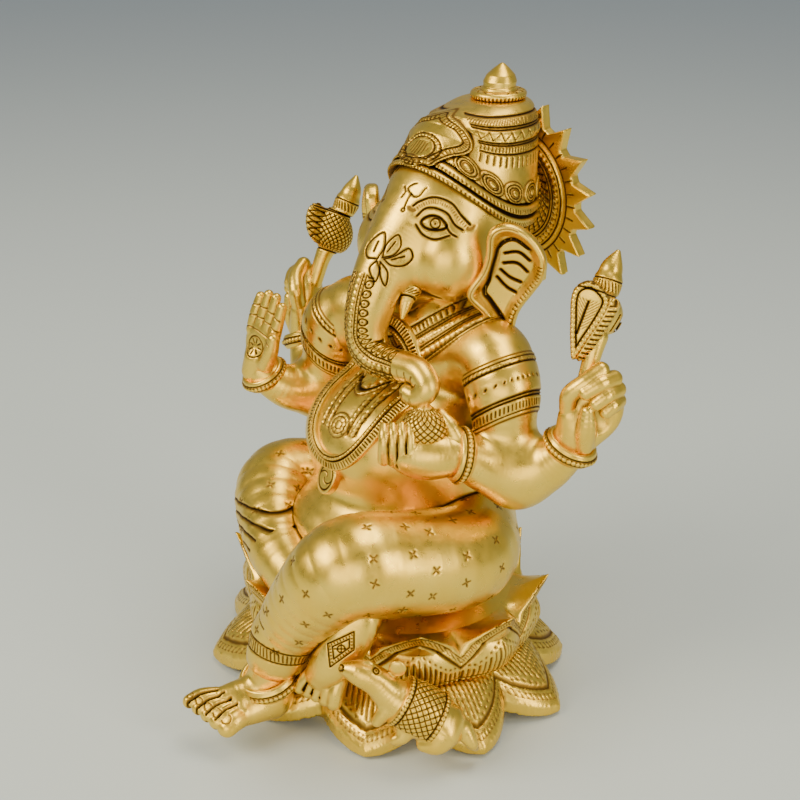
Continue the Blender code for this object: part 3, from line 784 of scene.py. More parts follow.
def chase_face(c):
    hollow = mouth_hollow(c.p)
    # Painted shade: the mouth hollow under each cheek is coloured fully dark
    c.stain = np.maximum(c.stain, clamp(1.1 - np.abs(hollow) / 1.2))
    for side in (1, -1):
        q = local(mirrored(c.p, side), (17.6, 9.0, 201.4), (0.69, -0.71, 0.11))
        keep = np.flatnonzero((np.abs(q[:, 0]) < 18) & (np.abs(q[:, 1]) < 14) & (np.abs(q[:, 2]) < 12)
                              & (c.p[:, 0] * side > 3))
        flat = q[keep, :2]
        almond = smooth_curve(EYE_ALMOND, 5, closed=True)
        ball = outline_distance(flat, almond)
        c.height[keep] += 0.9 * clamp(-ball / 3.0)
        c.groove(ball, 0.6, 0.8, keep)
        c.strokes(keep, flat, EYE_LINES, 0.5, 0.7)
        pupil = np.hypot(flat[:, 0] - 0.4, flat[:, 1] + 0.5)
        c.groove(pupil - 1.9, 0.4, 0.45, keep)
        c.groove(pupil, 0.6, 0.6, keep)
        brow, place = along(flat, smooth_curve(EYE_LINES[0], 5))
        below = flat[:, 1] - np.interp(flat[:, 0], (-8.5, 0, 8, 15), (5.8, 9.4, 5.4, -1.2))
        c.hatch(np.maximum(np.abs(brow - 1.6) - 0.9, below), place, 1.1, 0.25, 0.25, keep, stain=0.7)
    keep, flat = c.patch((5.6, 5, 210.5), (0.30, -0.85, 0.44), reach=10.0, depth=6.0)
    c.strokes(keep, flat * 1.15, CURLS, 0.36, 0.5)
    c.groove(np.hypot(flat[:, 0] + 0.2, flat[:, 1] + 5.7) - 0.7, 0.3, 0.4, keep)
    keep, flat = c.patch((5.4, -9, 187.5), (0.52, -0.72, 0.42), reach=15.0, depth=10.0)
    c.strokes(keep, flat, LOTUS_MARK, 0.4, 0.6)
    chase_trunk_strip(c)


BEND_X, BEND_Z, BEND_RADIUS = 12.5, 159.5, 12.7         # the trunk's turn toward the figure's left
BEND_LENGTH = 19.95


def chase_trunk_strip(c):
    """Scales and beads down the front of the trunk, around its turn and along its lower part."""
    _, place = limb(c.p, TRUNK, want_place=True)
    middle = smooth_curve(TRUNK, 5)
    steps = np.linalg.norm(np.diff(middle[:, :3], axis=0), axis=1)
    route = np.concatenate([[0.0], np.cumsum(steps)])
    middle_y, middle_z = (np.interp(place, route, middle[:, axis]) for axis in (1, 2))
    over = c.p[:, 2] - middle_z
    front = np.flatnonzero((c.p[:, 1] < middle_y + 2.0) & (place > 24.0) & (place < 72.0))
    x, z = c.p[front, 0], c.p[front, 2]
    turned = BEND_RADIUS * np.arctan2(BEND_Z - z, BEND_X - x)
    s = np.where(z > BEND_Z, BEND_Z - z, np.where(x > BEND_X, BEND_LENGTH + x - BEND_X, turned))
    outer = np.hypot(x - BEND_X, z - BEND_Z) - BEND_RADIUS
    side = np.where(z > BEND_Z, -0.2 - x, np.where(x > BEND_X, 146.8 - z, outer))
    c.groove(np.abs(side) - 2.0, 0.32, 0.5, front)
    c.beads(side, s, 2.4, 1.2, 0.45, front)
    c.groove(np.abs(side) - 3.4, 0.32, 0.5, front)
    loop = np.hypot(fold(s, 3.7), np.abs(side) - 5.3)
    c.groove(loop - 1.4, 0.34, 0.55, front)
    c.groove(loop, 0.4, 0.4, front)
    c.hatch(np.abs(np.abs(side) - 2.7) - 0.5, s, 1.4, 0.25, 0.3, front, stain=0.8)
    wrinkle = np.flatnonzero((place > 62.0) & (place < 104.0) & (over < 1.0))
    c.hatch(over[wrinkle] - 1.0, place[wrinkle], 4.2, 0.35, 0.35, wrinkle, stain=0.7)


# ---- crown, finial, halo

CROWN_TOP = 240.0
# share of the height, y of the centre and radius
CROWN_LEVELS = np.array(((0.0, 43.5, 26.5), (0.25, 44.5, 27.0), (0.62, 48.5, 25.0), (0.88, 53.5, 22.0),
                         (1.0, 59.5, 15.0)))


def crown_dip(angle):
    """How far the crown's lower edge has dropped, from 0 over the brow to 1 behind the ears."""
    return np.tanh(1.95 * (1.0 - np.cos(angle)) ** 1.15)


def crown_place(p):
    """Angle from the front, height over the lower edge, share of the height, and outward distance."""
    y, z = p[:, 1], p[:, 2]
    x = p[:, 0] - np.clip(0.055 * (CROWN_TOP - z), 0.0, 2.0)
    angle = np.arctan2(x, 48.0 - y)
    foot = 219.5 - 27.0 * crown_dip(angle)
    share = clamp((z - foot) / (CROWN_TOP - foot))
    centre = np.interp(share, CROWN_LEVELS[:, 0], CROWN_LEVELS[:, 1])
    radius = np.interp(share, CROWN_LEVELS[:, 0], CROWN_LEVELS[:, 2])
    angle = np.arctan2(x, centre - y)
    return angle, z - foot, share, np.hypot(x, y - centre) - radius


def crown_shape(p):
    """Domed cap with a rolled band that hugs the head, cut flat in front of the halo."""
    _, height, share, out = crown_place(p)
    rolled = 0.9 * clamp(1.0 - np.abs(height - 5.0) / 4.6) ** 0.5
    steps = rolled + 0.8 * clamp(1.0 - np.abs(share - 0.80) / 0.05) ** 0.5
    body = smooth_max((out - steps) * 0.85, p[:, 2] - CROWN_TOP, 2.0)
    body = smooth_min(body, smooth_max(skull(p) - (1.7 + rolled), height - 12.0, 1.5), 2.5)
    body = smooth_max(body, -height * 0.9, 1.2)
    return smooth_max(body, p[:, 1] - 75.4, 1.0)


PLAQUE = ((0, 35.5), (5, 33), (12, 31.5), (18, 27), (17, 21), (12.5, 15), (9.5, 10), (7.5, 6), (0, 4.8),
          (-7.5, 6), (-9.5, 10), (-12.5, 15), (-17, 21), (-18, 27), (-12, 31.5), (-5, 33))


def chase_crown(c):
    """Two rolled bands over the brow, an arched plaque, ringed bosses and hatched upper courses."""
    angle, _, share, _ = crown_place(c.p)
    slant = 38.0 + 11.0 * crown_dip(angle)
    climb, arc = share * slant, angle * 25.0
    outside = chase_plaque(c, arc, climb)
    free = np.flatnonzero((outside > 0.5) & (np.hypot(arc, climb - 5.6) > 3.9))
    for level in (0.3, 4.9, 5.7, 10.4):
        c.groove(climb[free] - level, 0.6, 0.9, free)
    for middle in (2.6, 8.0):
        c.height[free] += 0.9 * np.sqrt(clamp(1.0 - ((climb[free] - middle) / 2.4) ** 2))
        c.hatch(np.abs(climb[free] - middle + 0.5) - 1.1, arc[free], 1.25, 0.28, 0.35, free)
    for column in (18.0, 27.0, 36.5, 46.5, 56.5):
        chase_boss(c, np.hypot(np.abs(arc) - column, climb - 15.0), outside)
    clear = np.flatnonzero(outside > 2.6)
    h, a = climb[clear], arc[clear]
    top = slant[clear]
    for below in (3.2, 6.6, 7.6, 13.0, 13.9, 17.4):
        c.groove(h - top + below, 0.5, 0.7, clear)
    c.hatch(np.abs(h - top + 5.0) - 1.2, a, 1.3, 0.28, 0.35, clear)
    zigzag = np.abs(fold(a / 5.0, 1.0)) * 7.0
    c.groove(np.where(np.abs(h - top + 10.3) < 2.2, h - top + 12.0 - zigzag, FAR), 0.35, 0.45, clear)
    c.hatch(np.abs(h - top + 15.6) - 1.3, a, 1.5, 0.3, 0.35, clear)
    c.hatch(np.maximum(np.abs(h - top + 20.5) - 2.4, 19.6 - h), a, 2.7, 0.35, 0.4, clear)


def chase_boss(c, reach, outside):
    near = np.flatnonzero((reach < 5.4) & (outside > 0.4))
    r = reach[near]
    c.lift(r - 4.5, 0.8, near)
    for circle in (3.5, 2.3):
        c.groove(r - circle, 0.35, 0.45, near)
    c.lift(r - 1.2, 0.5, near)


def chase_plaque(c, arc, climb):
    """Pointed plaque on the front of the crown, with a boss below it. Returns the distance outside it."""
    outline = smooth_curve(PLAQUE, 4, closed=True)
    outside = np.full(len(arc), 30.0, dtype=np.float32)
    front = np.flatnonzero((np.abs(arc) < 25.0) & (climb < 40.0))
    flat = np.stack([arc[front], climb[front]], axis=1)
    o = outline_distance(flat, outline)
    outside[front] = o
    _, place = along(flat, outline)
    c.lift(o, 1.8, front)
    c.groove(o + 1.0, 0.35, 0.5, front)
    c.hatch(np.abs(o + 2.2) - 1.0, place, 1.5, 0.3, 0.4, front)
    c.groove(o + 3.5, 0.45, 0.7, front)
    r = np.hypot(flat[:, 0], flat[:, 1] - 14.0)
    upper = np.where(flat[:, 1] > 9.0, 0.0, FAR)
    for circle in (8.6, 6.2):
        c.groove(np.abs(r - circle) + upper, 0.4, 0.6, front)
    c.beads(r - 7.4 + upper, np.arctan2(flat[:, 0], flat[:, 1] - 14.0) * 7.4, 1.7, 0.8, 0.35, front)
    c.hatch(r - 4.2, flat[:, 0], 1.3, 0.25, 0.3, front)
    boss = np.hypot(flat[:, 0], flat[:, 1] - 5.6)
    c.lift(boss - 3.7, 1.5, front)
    c.groove(boss - 2.5, 0.35, 0.5, front)
    c.groove(boss - 1.1, 0.35, 0.45, front)
    return outside


def finial_place(p):
    height = p[:, 2] - 240.3
    return np.hypot(p[:, 0], p[:, 1] - 61.5 - 0.15 * height), height, np.arctan2(p[:, 0], 61.5 - p[:, 1])


def finial_shape(p):
    radius, height, _ = finial_place(p)
    disc = smooth_max(radius - 11.6 + 0.25 * (height - 1.4) ** 2, np.abs(height - 1.4) - 1.6, 1.0)
    neck = smooth_max(radius - 7.4, np.abs(height - 2.8) - 1.4, 0.6)
    bud = radius - np.interp(height, (2.4, 4.0, 6.5, 9.0, 11.5, 13.2, 13.9),
                             (5.0, 6.6, 6.9, 5.8, 3.2, 1.1, -0.5))
    bud = smooth_max(bud * 0.8, 2.0 - height, 0.4)
    return smooth_min(smooth_min(disc, neck, 0.4), bud, 0.4)


def chase_finial(c):
    radius, height, angle = finial_place(c.p)
    zigzag = np.abs(fold(angle * 7 / math.pi, 1.0)) * 4.0
    c.groove(np.where(height > 1.0, radius - 8.4 - zigzag, FAR), 0.35, 0.4)
    c.hatch(np.maximum(np.abs(height - 0.6) - 1.0, 9.0 - radius), angle * 11.0, 1.6, 0.35, 0.4)


HALO_CENTRE = (0, 74.4, 199.5)
RAYS = 18
RAY_TIP, RAY_FOOT, DISC = 41.8, 33.2, 27.0              # halo radii
RAY_FLANK = (1.15, 0.55)                                # slope of a ray's side


def halo_place(p):
    tilt = math.radians(5.0)
    q = p - vec(*HALO_CENTRE)
    out = -q[:, 1] * math.cos(tilt) - q[:, 2] * math.sin(tilt)
    up = q[:, 2] * math.cos(tilt) - q[:, 1] * math.sin(tilt)
    return np.hypot(q[:, 0], up), np.arctan2(up, q[:, 0]) - math.radians(7.0), out


def halo_shape(p):
    radius, angle, out = halo_place(p)
    off = np.abs(fold(angle * RAYS / (2 * math.pi), 1.0)) * 2 * math.pi / RAYS
    across, outward = RAY_FLANK
    side = radius * np.sin(off) * across + radius * np.cos(off) * outward - RAY_TIP * outward
    star = side / math.hypot(across, outward)
    star = np.maximum(np.minimum(star, radius - RAY_FOOT), radius - RAY_TIP)
    plate = smooth_max(star, np.abs(out + 1.4) - 2.5, 0.6)
    disc = smooth_max(radius - DISC, np.abs(out + 0.6) - 2.6, 0.8)
    return smooth_min(plate, disc, 0.5)


def chase_halo(c):
    radius, angle, out = halo_place(c.p)
    front = np.flatnonzero(out > 0.2)
    r, a = radius[front], angle[front]
    for circle in (28.6, 26.2, 21.8, 20.4):
        c.groove(r - circle, 0.4, 0.5, front)
    c.beads(r - 24.0, a * 24.0, 2.5, 1.15, 0.6, front)
    off = np.abs(fold(a * RAYS * 2 / (2 * math.pi), 1.0)) * math.pi / RAYS * r
    c.groove(np.hypot(off, np.maximum(np.abs(r - 31.2) - 1.6, 0.0)), 0.35, 0.45, front)
    spiral = (a + 0.9 * np.sin((r - 8.0) * 0.13)) * 14.0
    c.hatch(np.maximum(r - 19.8, 9.0 - r), spiral, 2.6, 0.5, 0.9, front)
    c.hatch(np.maximum(r - 19.8, 9.0 - r), r, 1.4, 0.3, 0.35, front, stain=0.6)
    back = np.flatnonzero(out < -1.8)
    c.groove(radius[back] - 28.6, 0.4, 0.4, back, stain=0.6)


# ---- hands and what they hold

def back_hand_place(p, side):
    """Coordinates of the closed back hand from its wrist: across, out of the palm, and up."""
    q = mirrored(p, side) - vec(80.2, 22.8, 122.4)
    return np.stack([q @ vec(0.68, 0.733, 0), q @ vec(0.733, -0.68, 0), q[:, 2]], axis=1)


BACK_FINGERS = (((15, 2, 29, 3.4), (9.5, 6.2, 28.4, 3.3), (4, 7.4, 25.4, 2.9)),
                ((16.6, 2, 24.6, 3.4), (12.2, 6.8, 24.2, 3.2), (8, 8.2, 21.4, 2.8)),
                ((17, 2, 20, 3.3), (14.6, 6.2, 19.8, 3.0), (12, 7.6, 17.6, 2.6)),
                ((10, 2, 32.4, 3.4), (4, 4.6, 28.6, 3.5), (-1.6, 4, 23.4, 3.5), (-2.2, 3, 17.6, 3.2)),
                ((4.2, 4.5, 2.5, 4.2), (4.8, 7.2, 10.5, 4.0), (4.9, 8.0, 18.0, 2.6)))


def back_hand_shape(side):
    """Palm toward the front with the fingers folded over it and the thumb laid along it."""
    def shape(p):
        q = back_hand_place(p, side)
        hand = melt(4.0, limb(q, ((0.6, 0.6, 1.5, 7.0), (3, 0, 8, 8.0))),
                    ellipsoid(q, (7.6, -0.5, 17), (9.8, 6.6, 13)),
                    limb(q, ((6, 1, 5, 5.2), (13.2, 1.6, 12, 5.0), (14.4, 0.6, 20, 5.0), (11, 0, 28, 4.4))),
                    limb(q, ((-1.2, 1.4, 5, 4.2), (-1.6, 2.6, 14, 3.8))))
        hand = smooth_max(hand, -ellipsoid(q, (9.6, 9.6, 13.6), (6.0, 5.0, 6.4)), 1.5)
        for stations in BACK_FINGERS:
            hand = smooth_min(hand, limb(q, stations, 4), 0.6)
        return hand
    return shape


def ring_shape(centre, axis, radius, thickness):
    """Bangle with a rounded band between two rims."""
    def shape(p):
        n = unit(axis)
        q = p - vec(*centre)
        height = q @ n
        out = np.sqrt(np.maximum(np.einsum("ij,ij->i", q, q) - height ** 2, 0.0))
        band = np.hypot(out - radius, height / 1.15) - thickness
        rims = np.hypot(out - radius - 0.3, np.abs(height) - thickness * 0.95) - thickness * 0.42
        return smooth_min(band, rims, 0.3)
    return shape


RING_BEAD = 1.9             # mm between a bangle's beads


def chase_ring(centre, axis, radius):
    def relief(c):
        n = unit(axis)
        q = c.p - vec(*centre)
        height = q @ n
        side = unit(np.cross(n, vec(0.3, 1.0, 0.2)))
        angle = np.arctan2(q @ side, q @ np.cross(n, side))
        count = round(2 * math.pi * (radius + 2.0) / RING_BEAD)
        c.groove(np.abs(height) - 1.35, 0.32, 0.45)
        c.beads(height, angle * count / (2 * math.pi) * RING_BEAD, RING_BEAD, 0.85, 0.45)
    return relief


def make_bangle(name, low, high, centre, axis, radius, thickness):
    shape = ring_shape(centre, axis, radius, thickness)
    sculpt(name, low, high, 0.32, shape, chase_ring(centre, axis, radius))


def emblem_stem(q):
    return melt(0.8, limb(q, ((80.8, 29, 148, 3.2), (80.4, 33, 158, 3.6), (79.6, 36, 164, 4.4))),
                limb(q, ((76.8, 43.2, 180.0, 5.2), (76.2, 44.8, 183.0, 5.8))),
                limb(q, ((76.1, 45.8, 185.2, 4.7), (75.7, 47.4, 188.2, 4.2), (76.0, 50.2, 193.8, 1.2))))


LEAF_OUTLINE = ((-6.5, 12), (-2, 15.5), (3, 14), (6.8, 10), (6, 3), (3.6, -6), (0.6, -15.5), (-2.5, -9),
                (-5, -1), (-7.2, 7))


def leaf_place(p):
    return local(p, (77.6, 30.2, 171.5), (0.60, -0.78, 0.15), (0.1, 0.30, 1))


def conch_shape(p):
    """Pointed leaf with a curled border, a ribbed cord beside it and a bulb behind."""
    bulb = ellipsoid(p, (80, 39.8, 173), (6.4, 6.8, 9.4), turn("X", 25))
    q = leaf_place(p)
    flat = outline_distance(q[:, :2], smooth_curve(LEAF_OUTLINE, 4, closed=True))
    leaf = smooth_max(flat, np.abs(q[:, 2] + 0.02 * q[:, 0] ** 2) - 2.7, 1.6)
    cord = limb(q, ((8.8, 9, -1, 2.6), (7.4, 2, 0.2, 2.4), (4.6, -8, 0.2, 2.1), (2.2, -14, 0, 1.8)))
    return melt(0.8, emblem_stem(p), bulb, leaf, cord)


def chase_conch(c):
    q = leaf_place(c.p)
    outline = smooth_curve(LEAF_OUTLINE, 4, closed=True)
    flat = q[:, :2]
    edge = outline_distance(flat, outline)
    _, place = along(flat, outline)
    front = np.flatnonzero((q[:, 2] > -1.0) & (edge < 0.8))
    d, u, v = edge[front], q[front, 0], q[front, 1]
    c.beads(d + 1.0, place[front], 1.9, 1.0, 0.5, front)
    c.groove(d + 2.3, 0.4, 0.6, front)
    vein = np.hypot(u + 0.9 - 0.05 * v, np.maximum(np.abs(v - 1.5) - 6.5, 0.0))
    c.groove(vein, 0.55, 0.7, front)
    veins = np.maximum(d + 2.8, np.abs(v - 3.0) - 6.0)
    c.hatch(veins, v - np.abs(u + 0.9), 1.3, 0.25, 0.3, front, stain=0.6)
    side = np.flatnonzero(edge > 0.6)
    cord, run = along(flat[side], smooth_curve(((8.8, 9), (7.4, 2), (4.6, -8), (2.2, -14)), 5))
    c.hatch(cord - 2.4, run + 0.4 * flat[side, 0], 1.9, 0.36, 0.6, side)
    slash = np.flatnonzero(edge > 5.5)
    x, y = q[slash, 0], q[slash, 1] - 2
    for column in (11.4, 13.4):
        c.groove(np.hypot(x - column - 0.25 * y, np.maximum(np.abs(y) - 3.5, 0.0)), 0.5, 0.7, slash)
    chase_collar(c, 1)


def chase_collar(c, side):
    q = mirrored(c.p, side) - vec(76.5, 44, 181.5)
    height = q @ unit((-0.08, 0.45, 0.89))
    angle = np.arctan2(q[:, 0], -q[:, 1])
    c.groove(height + 3.4, 0.4, 0.5)
    c.hatch(np.abs(height) - 2.0, angle * 6.0, 1.7, 0.35, 0.45)
    c.groove(height - 2.6, 0.35, 0.45)


def axe_shape(p):
    q = mirrored(p, -1)
    bulb = ellipsoid(q, (78.5, 38, 171), (9, 9, 11.5), turn("X", 25))
    leaf = ellipsoid(q, (79, 30, 176), (3.2, 6.4, 10), turn("X", 14))
    return melt(0.8, emblem_stem(q), bulb, leaf)


def chase_axe(c):
    q = mirrored(c.p, -1) - vec(78.5, 38, 171)
    height = q @ unit((0, 0.42, 0.9))
    angle = np.arctan2(q[:, 0], q @ unit((0, -0.9, 0.42))) * 9.0
    inside = np.abs(height + 0.5) - 8.0
    cross_hatch(c, inside, angle, height, 2.6, 0.38, 0.5)
    c.groove(np.abs(height + 0.5) - 8.6, 0.4, 0.5)
    chase_collar(c, -1)


def beside_sweet(across, out, *rest):
    """A point by its distance across and out of the left front palm, with its height and radius after it."""
    return 38.3 + 0.68 * across + 0.73 * out, -15.0 + 0.733 * across - 0.68 * out, *rest


def left_front_hand_shape(p):
    """Open hand below the sweet, with four fingers curled up in front of it."""
    hand = limb(p, ((48.5, -10, 118, 7.6), (42.5, -14.5, 117.6, 9.8), (37, -18.5, 117.4, 9.6),
                    (31.5, -23.0, 118.0, 6.4)))
    for finger in range(4):
        across, out = -5.5 - 3.5 * finger, 6.0 - finger
        curl = limb(p, (beside_sweet(across, out, 115.6, 2.6), beside_sweet(across, out + 1.6, 121.5, 2.4),
                        beside_sweet(across, out + 0.4, 127.5 - 0.5 * finger, 2.1),
                        beside_sweet(across, out - 2.6, 130.6 - 0.7 * finger, 1.8)), 4)
        hand = smooth_min(hand, curl, 0.25)
    return smooth_min(hand, limb(p, ((50, -8, 123.5, 3.8), (46, -9, 129.5, 3.2), (41, -9, 132.5, 2.6))), 1.2)


def chase_left_fingers(c):
    """Dark cuts between the fingers in front of the sweet."""
    for gap in range(3):
        across, out = -7.25 - 3.5 * gap, 8.0 - gap
        route = (beside_sweet(across, out, 114.0), beside_sweet(across, out + 1, 121.5),
                 beside_sweet(across, out - 0.4, 128.5))
        distance, _ = along(c.p, np.array(route, dtype=np.float32))
        c.groove(distance, 0.6, 0.8)


def sweet_shape(p):
    return melt(2.5, ellipsoid(p, (38.3, -15.0, 127.6), (9.8, 9.2, 8.6)),
                limb(p, ((37.8, -15, 134.0, 3.6), (37.6, -15.2, 137.0, 1.6))))


def chase_sweet(c):
    q = c.p - vec(38.3, -15.0, 127.6)
    arc = np.arctan2(q[:, 0] * 0.733 - q[:, 1] * 0.68, q[:, 0] * 0.68 + q[:, 1] * 0.733) * 8.0
    cross_hatch(c, np.abs(q[:, 2]) - 9.0, arc, q[:, 2], 2.6, 0.36, 0.45)


def raised_hand_place(p):
    """Across, up and out of the raised palm."""
    return local(p, (-67.5, -12.5, 132.6), (0.04, -1.0, 0.10), (0.22, 0.08, 1.0))


def right_front_hand_shape(p):
    q = raised_hand_place(p)
    palm = melt(2.5, limb(q, ((-0.5, -13.5, 0, 6.2), (0, -7, 0.3, 6.4))),
                smooth_max(ellipsoid(q, (0.2, 0.5, 0), (9.8, 11.2, 4.6)), q[:, 2] - 3.9, 1.5))
    for across, top in ((-7.3, 19.5), (-2.6, 22.6), (2.3, 23.4), (7.0, 21.0)):
        stations = ((across * 0.93, 4.0, 0.4, 3.1), (across, 12.0, 0.2, 2.75), (across, top, -0.6, 2.15))
        palm = smooth_min(palm, limb(q, stations, 4), 0.6)
    thumb = limb(q, ((6.5, -6.5, 1.6, 3.8), (9.2, 0.5, 2.8, 3.3), (9.4, 7.5, 3.0, 2.6)), 4)
    return smooth_min(palm, thumb, 1.4)


def chase_raised_hand(c):
    """Eight-spoked mark on the palm and creases across the fingers."""
    q = raised_hand_place(c.p)
    front = np.flatnonzero(q[:, 2] > 0.8)
    u, v = q[front, 0], q[front, 1]
    r = np.hypot(u - 0.2, v + 0.5)
    c.groove(r - 4.6, 0.35, 0.4, front)
    off = np.abs(fold(np.arctan2(v + 0.5, u - 0.2) * 8 / (2 * math.pi), 1.0)) * 2 * math.pi / 8 * r
    c.groove(np.where((r > 1.4) & (r < 3.8), off, FAR), 0.35, 0.35, front)
    for crease in (6.8, 12.4, 17.2):
        c.groove(np.where(np.abs(u) < 10, v - crease + 0.02 * u ** 2, FAR), 0.35, 0.35, front, stain=0.8)


# ---- feet

ANKLE = (8, -75, 25)


def front_foot_shape(p):
    x, y, z = ANKLE
    foot = melt(4.0, limb(p, ((x, y + 4, z + 5, 9.0), (x - 1, y + 2, z - 5, 8.8))),
                limb(p, ((x - 1, y + 6, 16, 8.0), (x - 4, y - 7, 19, 6.6), (x - 7, y - 15, 19.6, 4.8))),
                limb(p, ((x + 2, y + 2, 14, 6.8), (x + 1.5, y - 12, 15, 5.4))))
    for toe in range(5):
        t = toe / 4.0
        radius = 2.9 + 1.2 * t ** 1.5
        root = (x - 9.5 + 12.0 * t, y - 17.5 + 3.5 * t, 20.8 - 6.0 * t, radius + 0.3)
        knuckle = (x - 12 + 14.6 * t, y - 23 + 5.2 * t, 21.2 - 6.7 * t, radius + 0.4)
        tip = (x - 13.6 + 16.2 * t, y - 27.2 + 6.2 * t, 20.0 - 7.0 * t, radius)
        foot = smooth_min(foot, limb(p, (root, knuckle, tip), 4), 0.35)
    return foot


def chase_front_foot(c):
    """Nails, and dark cuts between the toes."""
    x, y, _ = ANKLE
    top = np.flatnonzero(c.p[:, 1] < y - 10)
    for toe in range(5):
        t = toe / 4.0
        radius = 2.3 + 1.35 * t ** 1.5
        tip = (x - 13.2 + 16.2 * t, y - 26.8 + 6.2 * t, 22.4 - 7.0 * t)
        keep, flat = c.patch(tip, (-0.05, -0.45, 0.9), (-0.3, -0.9, 0.1), reach=radius * 1.1, depth=2.5)
        c.groove(np.hypot(flat[:, 0], flat[:, 1]) - radius * 0.55, 0.28, 0.35, keep, stain=0.8)
        if toe < 4:
            t = t + 0.11
            route = ((x - 9.4 + 12 * t, y - 17.5 + 3.5 * t), (x - 14 + 16.2 * t, y - 30 + 6.2 * t))
            gap, _ = along(c.p[top, :2], np.array(route, dtype=np.float32))
            c.groove(gap, 0.5, 0.9, top)


def tucked_toe(toe):
    """Root, knuckle and tip of a toe of the tucked foot."""
    return ((25.6 + 2.7 * toe, -63.4 + 1.1 * toe, 32.2 - 0.3 * toe),
            (23.8 + 3.2 * toe, -66.2 + 1.2 * toe, 28.6 - 0.5 * toe),
            (22.2 + 3.6 * toe, -68.0 + 1.4 * toe, 24.6 - 0.6 * toe))


def tucked_foot_shape(p):
    """Sole outward: heel under the knee, toes down and to the front."""
    foot = limb(p, ((36, -46, 60, 8.6), (37.5, -51, 54, 9.4), (35.5, -56, 45.5, 9.6), (32, -59.5, 37, 8.6),
                    (29, -61.5, 31.5, 7.0)))
    sole = (p - vec(40, -61, 48)) @ unit((0.68, -0.62, 0.20))
    foot = smooth_max(foot, sole - 1.0, 4.0)
    for toe in range(5):
        radius = 2.6 + 0.16 * toe
        stations = [(*spot, radius + more) for spot, more in zip(tucked_toe(toe), (0.3, 0.2, 0.0))]
        foot = smooth_min(foot, limb(p, stations, 4), 0.5)
    return foot


SOLE_PANEL = ((-5.4, 1.9), (5.0, 6.9), (5.0, -0.4), (-4.4, -7.4), (-5.4, 1.9))


def chase_sole(c):
    """Diamond panel on the sole, and cuts between the toes."""
    keep, flat = c.patch((40, -61, 48), (0.68, -0.62, 0.39), reach=14.0, depth=9.0)
    panel = np.array(SOLE_PANEL, dtype=np.float32)
    edge = outline_distance(flat, panel)
    _, place = along(flat, panel)
    c.groove(edge, 0.32, 0.5, keep)
    c.groove(edge + 1.8, 0.32, 0.45, keep)
    c.hatch(np.abs(edge + 0.9) - 0.6, place, 1.3, 0.28, 0.35, keep)
    for toe in range(4):
        between = vec(1.4, -1.3, 0.8) + np.array(tucked_toe(toe + 0.5), dtype=np.float32)
        gap, _ = along(c.p, between)
        c.groove(gap, 0.9, 0.9)
    r = np.hypot(flat[:, 0], flat[:, 1])
    c.groove(np.where(edge < -2.0, r - 1.5, FAR), 0.3, 0.35, keep)
    c.groove(np.where(edge < -2.2, np.abs(flat).min(axis=1), FAR), 0.25, 0.3, keep)


# ---- chasing of the body

def chase_cloth(c, route, spacing, seed):
    """Punched flowers over the garment, in staggered rings around the limb."""
    rows = smooth_curve(route, 8)
    rng = np.random.default_rng(seed)
    travelled, due, stagger = 0.0, spacing * 0.5, 0.0
    for before, after in zip(rows, rows[1:]):
        travelled += float(np.linalg.norm(after[:3] - before[:3]))
        if travelled < due:
            continue
        due += spacing
        stagger += 0.5
        forward = unit(after[:3] - before[:3])
        side = unit(np.cross(forward, vec(0, 0, 1)))
        count = max(5, round(2 * math.pi * after[3] / (1.15 * spacing)))
        for step in range(count):
            angle = 2 * math.pi * (step + stagger + rng.uniform(-0.2, 0.2)) / count
            direction = side * math.cos(angle) + np.cross(side, forward) * math.sin(angle)
            flower(c, after[:3] + direction * after[3], direction, rng.uniform(0, 1.5))


def chase_left_leg(c):
    chase_cloth(c, LEFT_LEG[:6], 12.0, 4)
    q = c.p - vec(9.5, -67.5, 37)
    height = q @ unit((0.15, 0.25, 1.0))
    angle = np.arctan2(q[:, 0], -q[:, 1])
    c.groove(height - 5.6, 0.5, 0.7)
    c.groove(height - 0.2, 0.4, 0.5)
    c.hatch(np.abs(height - 2.9) - 2.2, angle * 13.0, 1.6, 0.32, 0.45)
    for arc in (14.0, 20.5):
        c.groove(np.where((angle < 0.4) & (angle > -1.4), height - arc + 3.0 * angle, FAR), 0.45, 0.6)


def chase_right_leg(c):
    chase_cloth(c, RIGHT_LEG[:4], 13.0, 9)
    q = c.p - vec(-30, -36, 62)
    u = q @ unit((0.9, -0.35, -0.15))
    v = c.p[:, 2]
    front = np.flatnonzero((c.p[:, 1] < -30) & (c.p[:, 0] < 0))
    for line, reach in ((75, 22), (70.5, 20), (66, 18), (61, 17), (56, 15)):
        off = v[front] - line - 0.10 * u[front] + 0.004 * u[front] ** 2
        c.groove(np.where(np.abs(u[front] + 8) < reach, off, FAR), 0.6, 0.8, front)


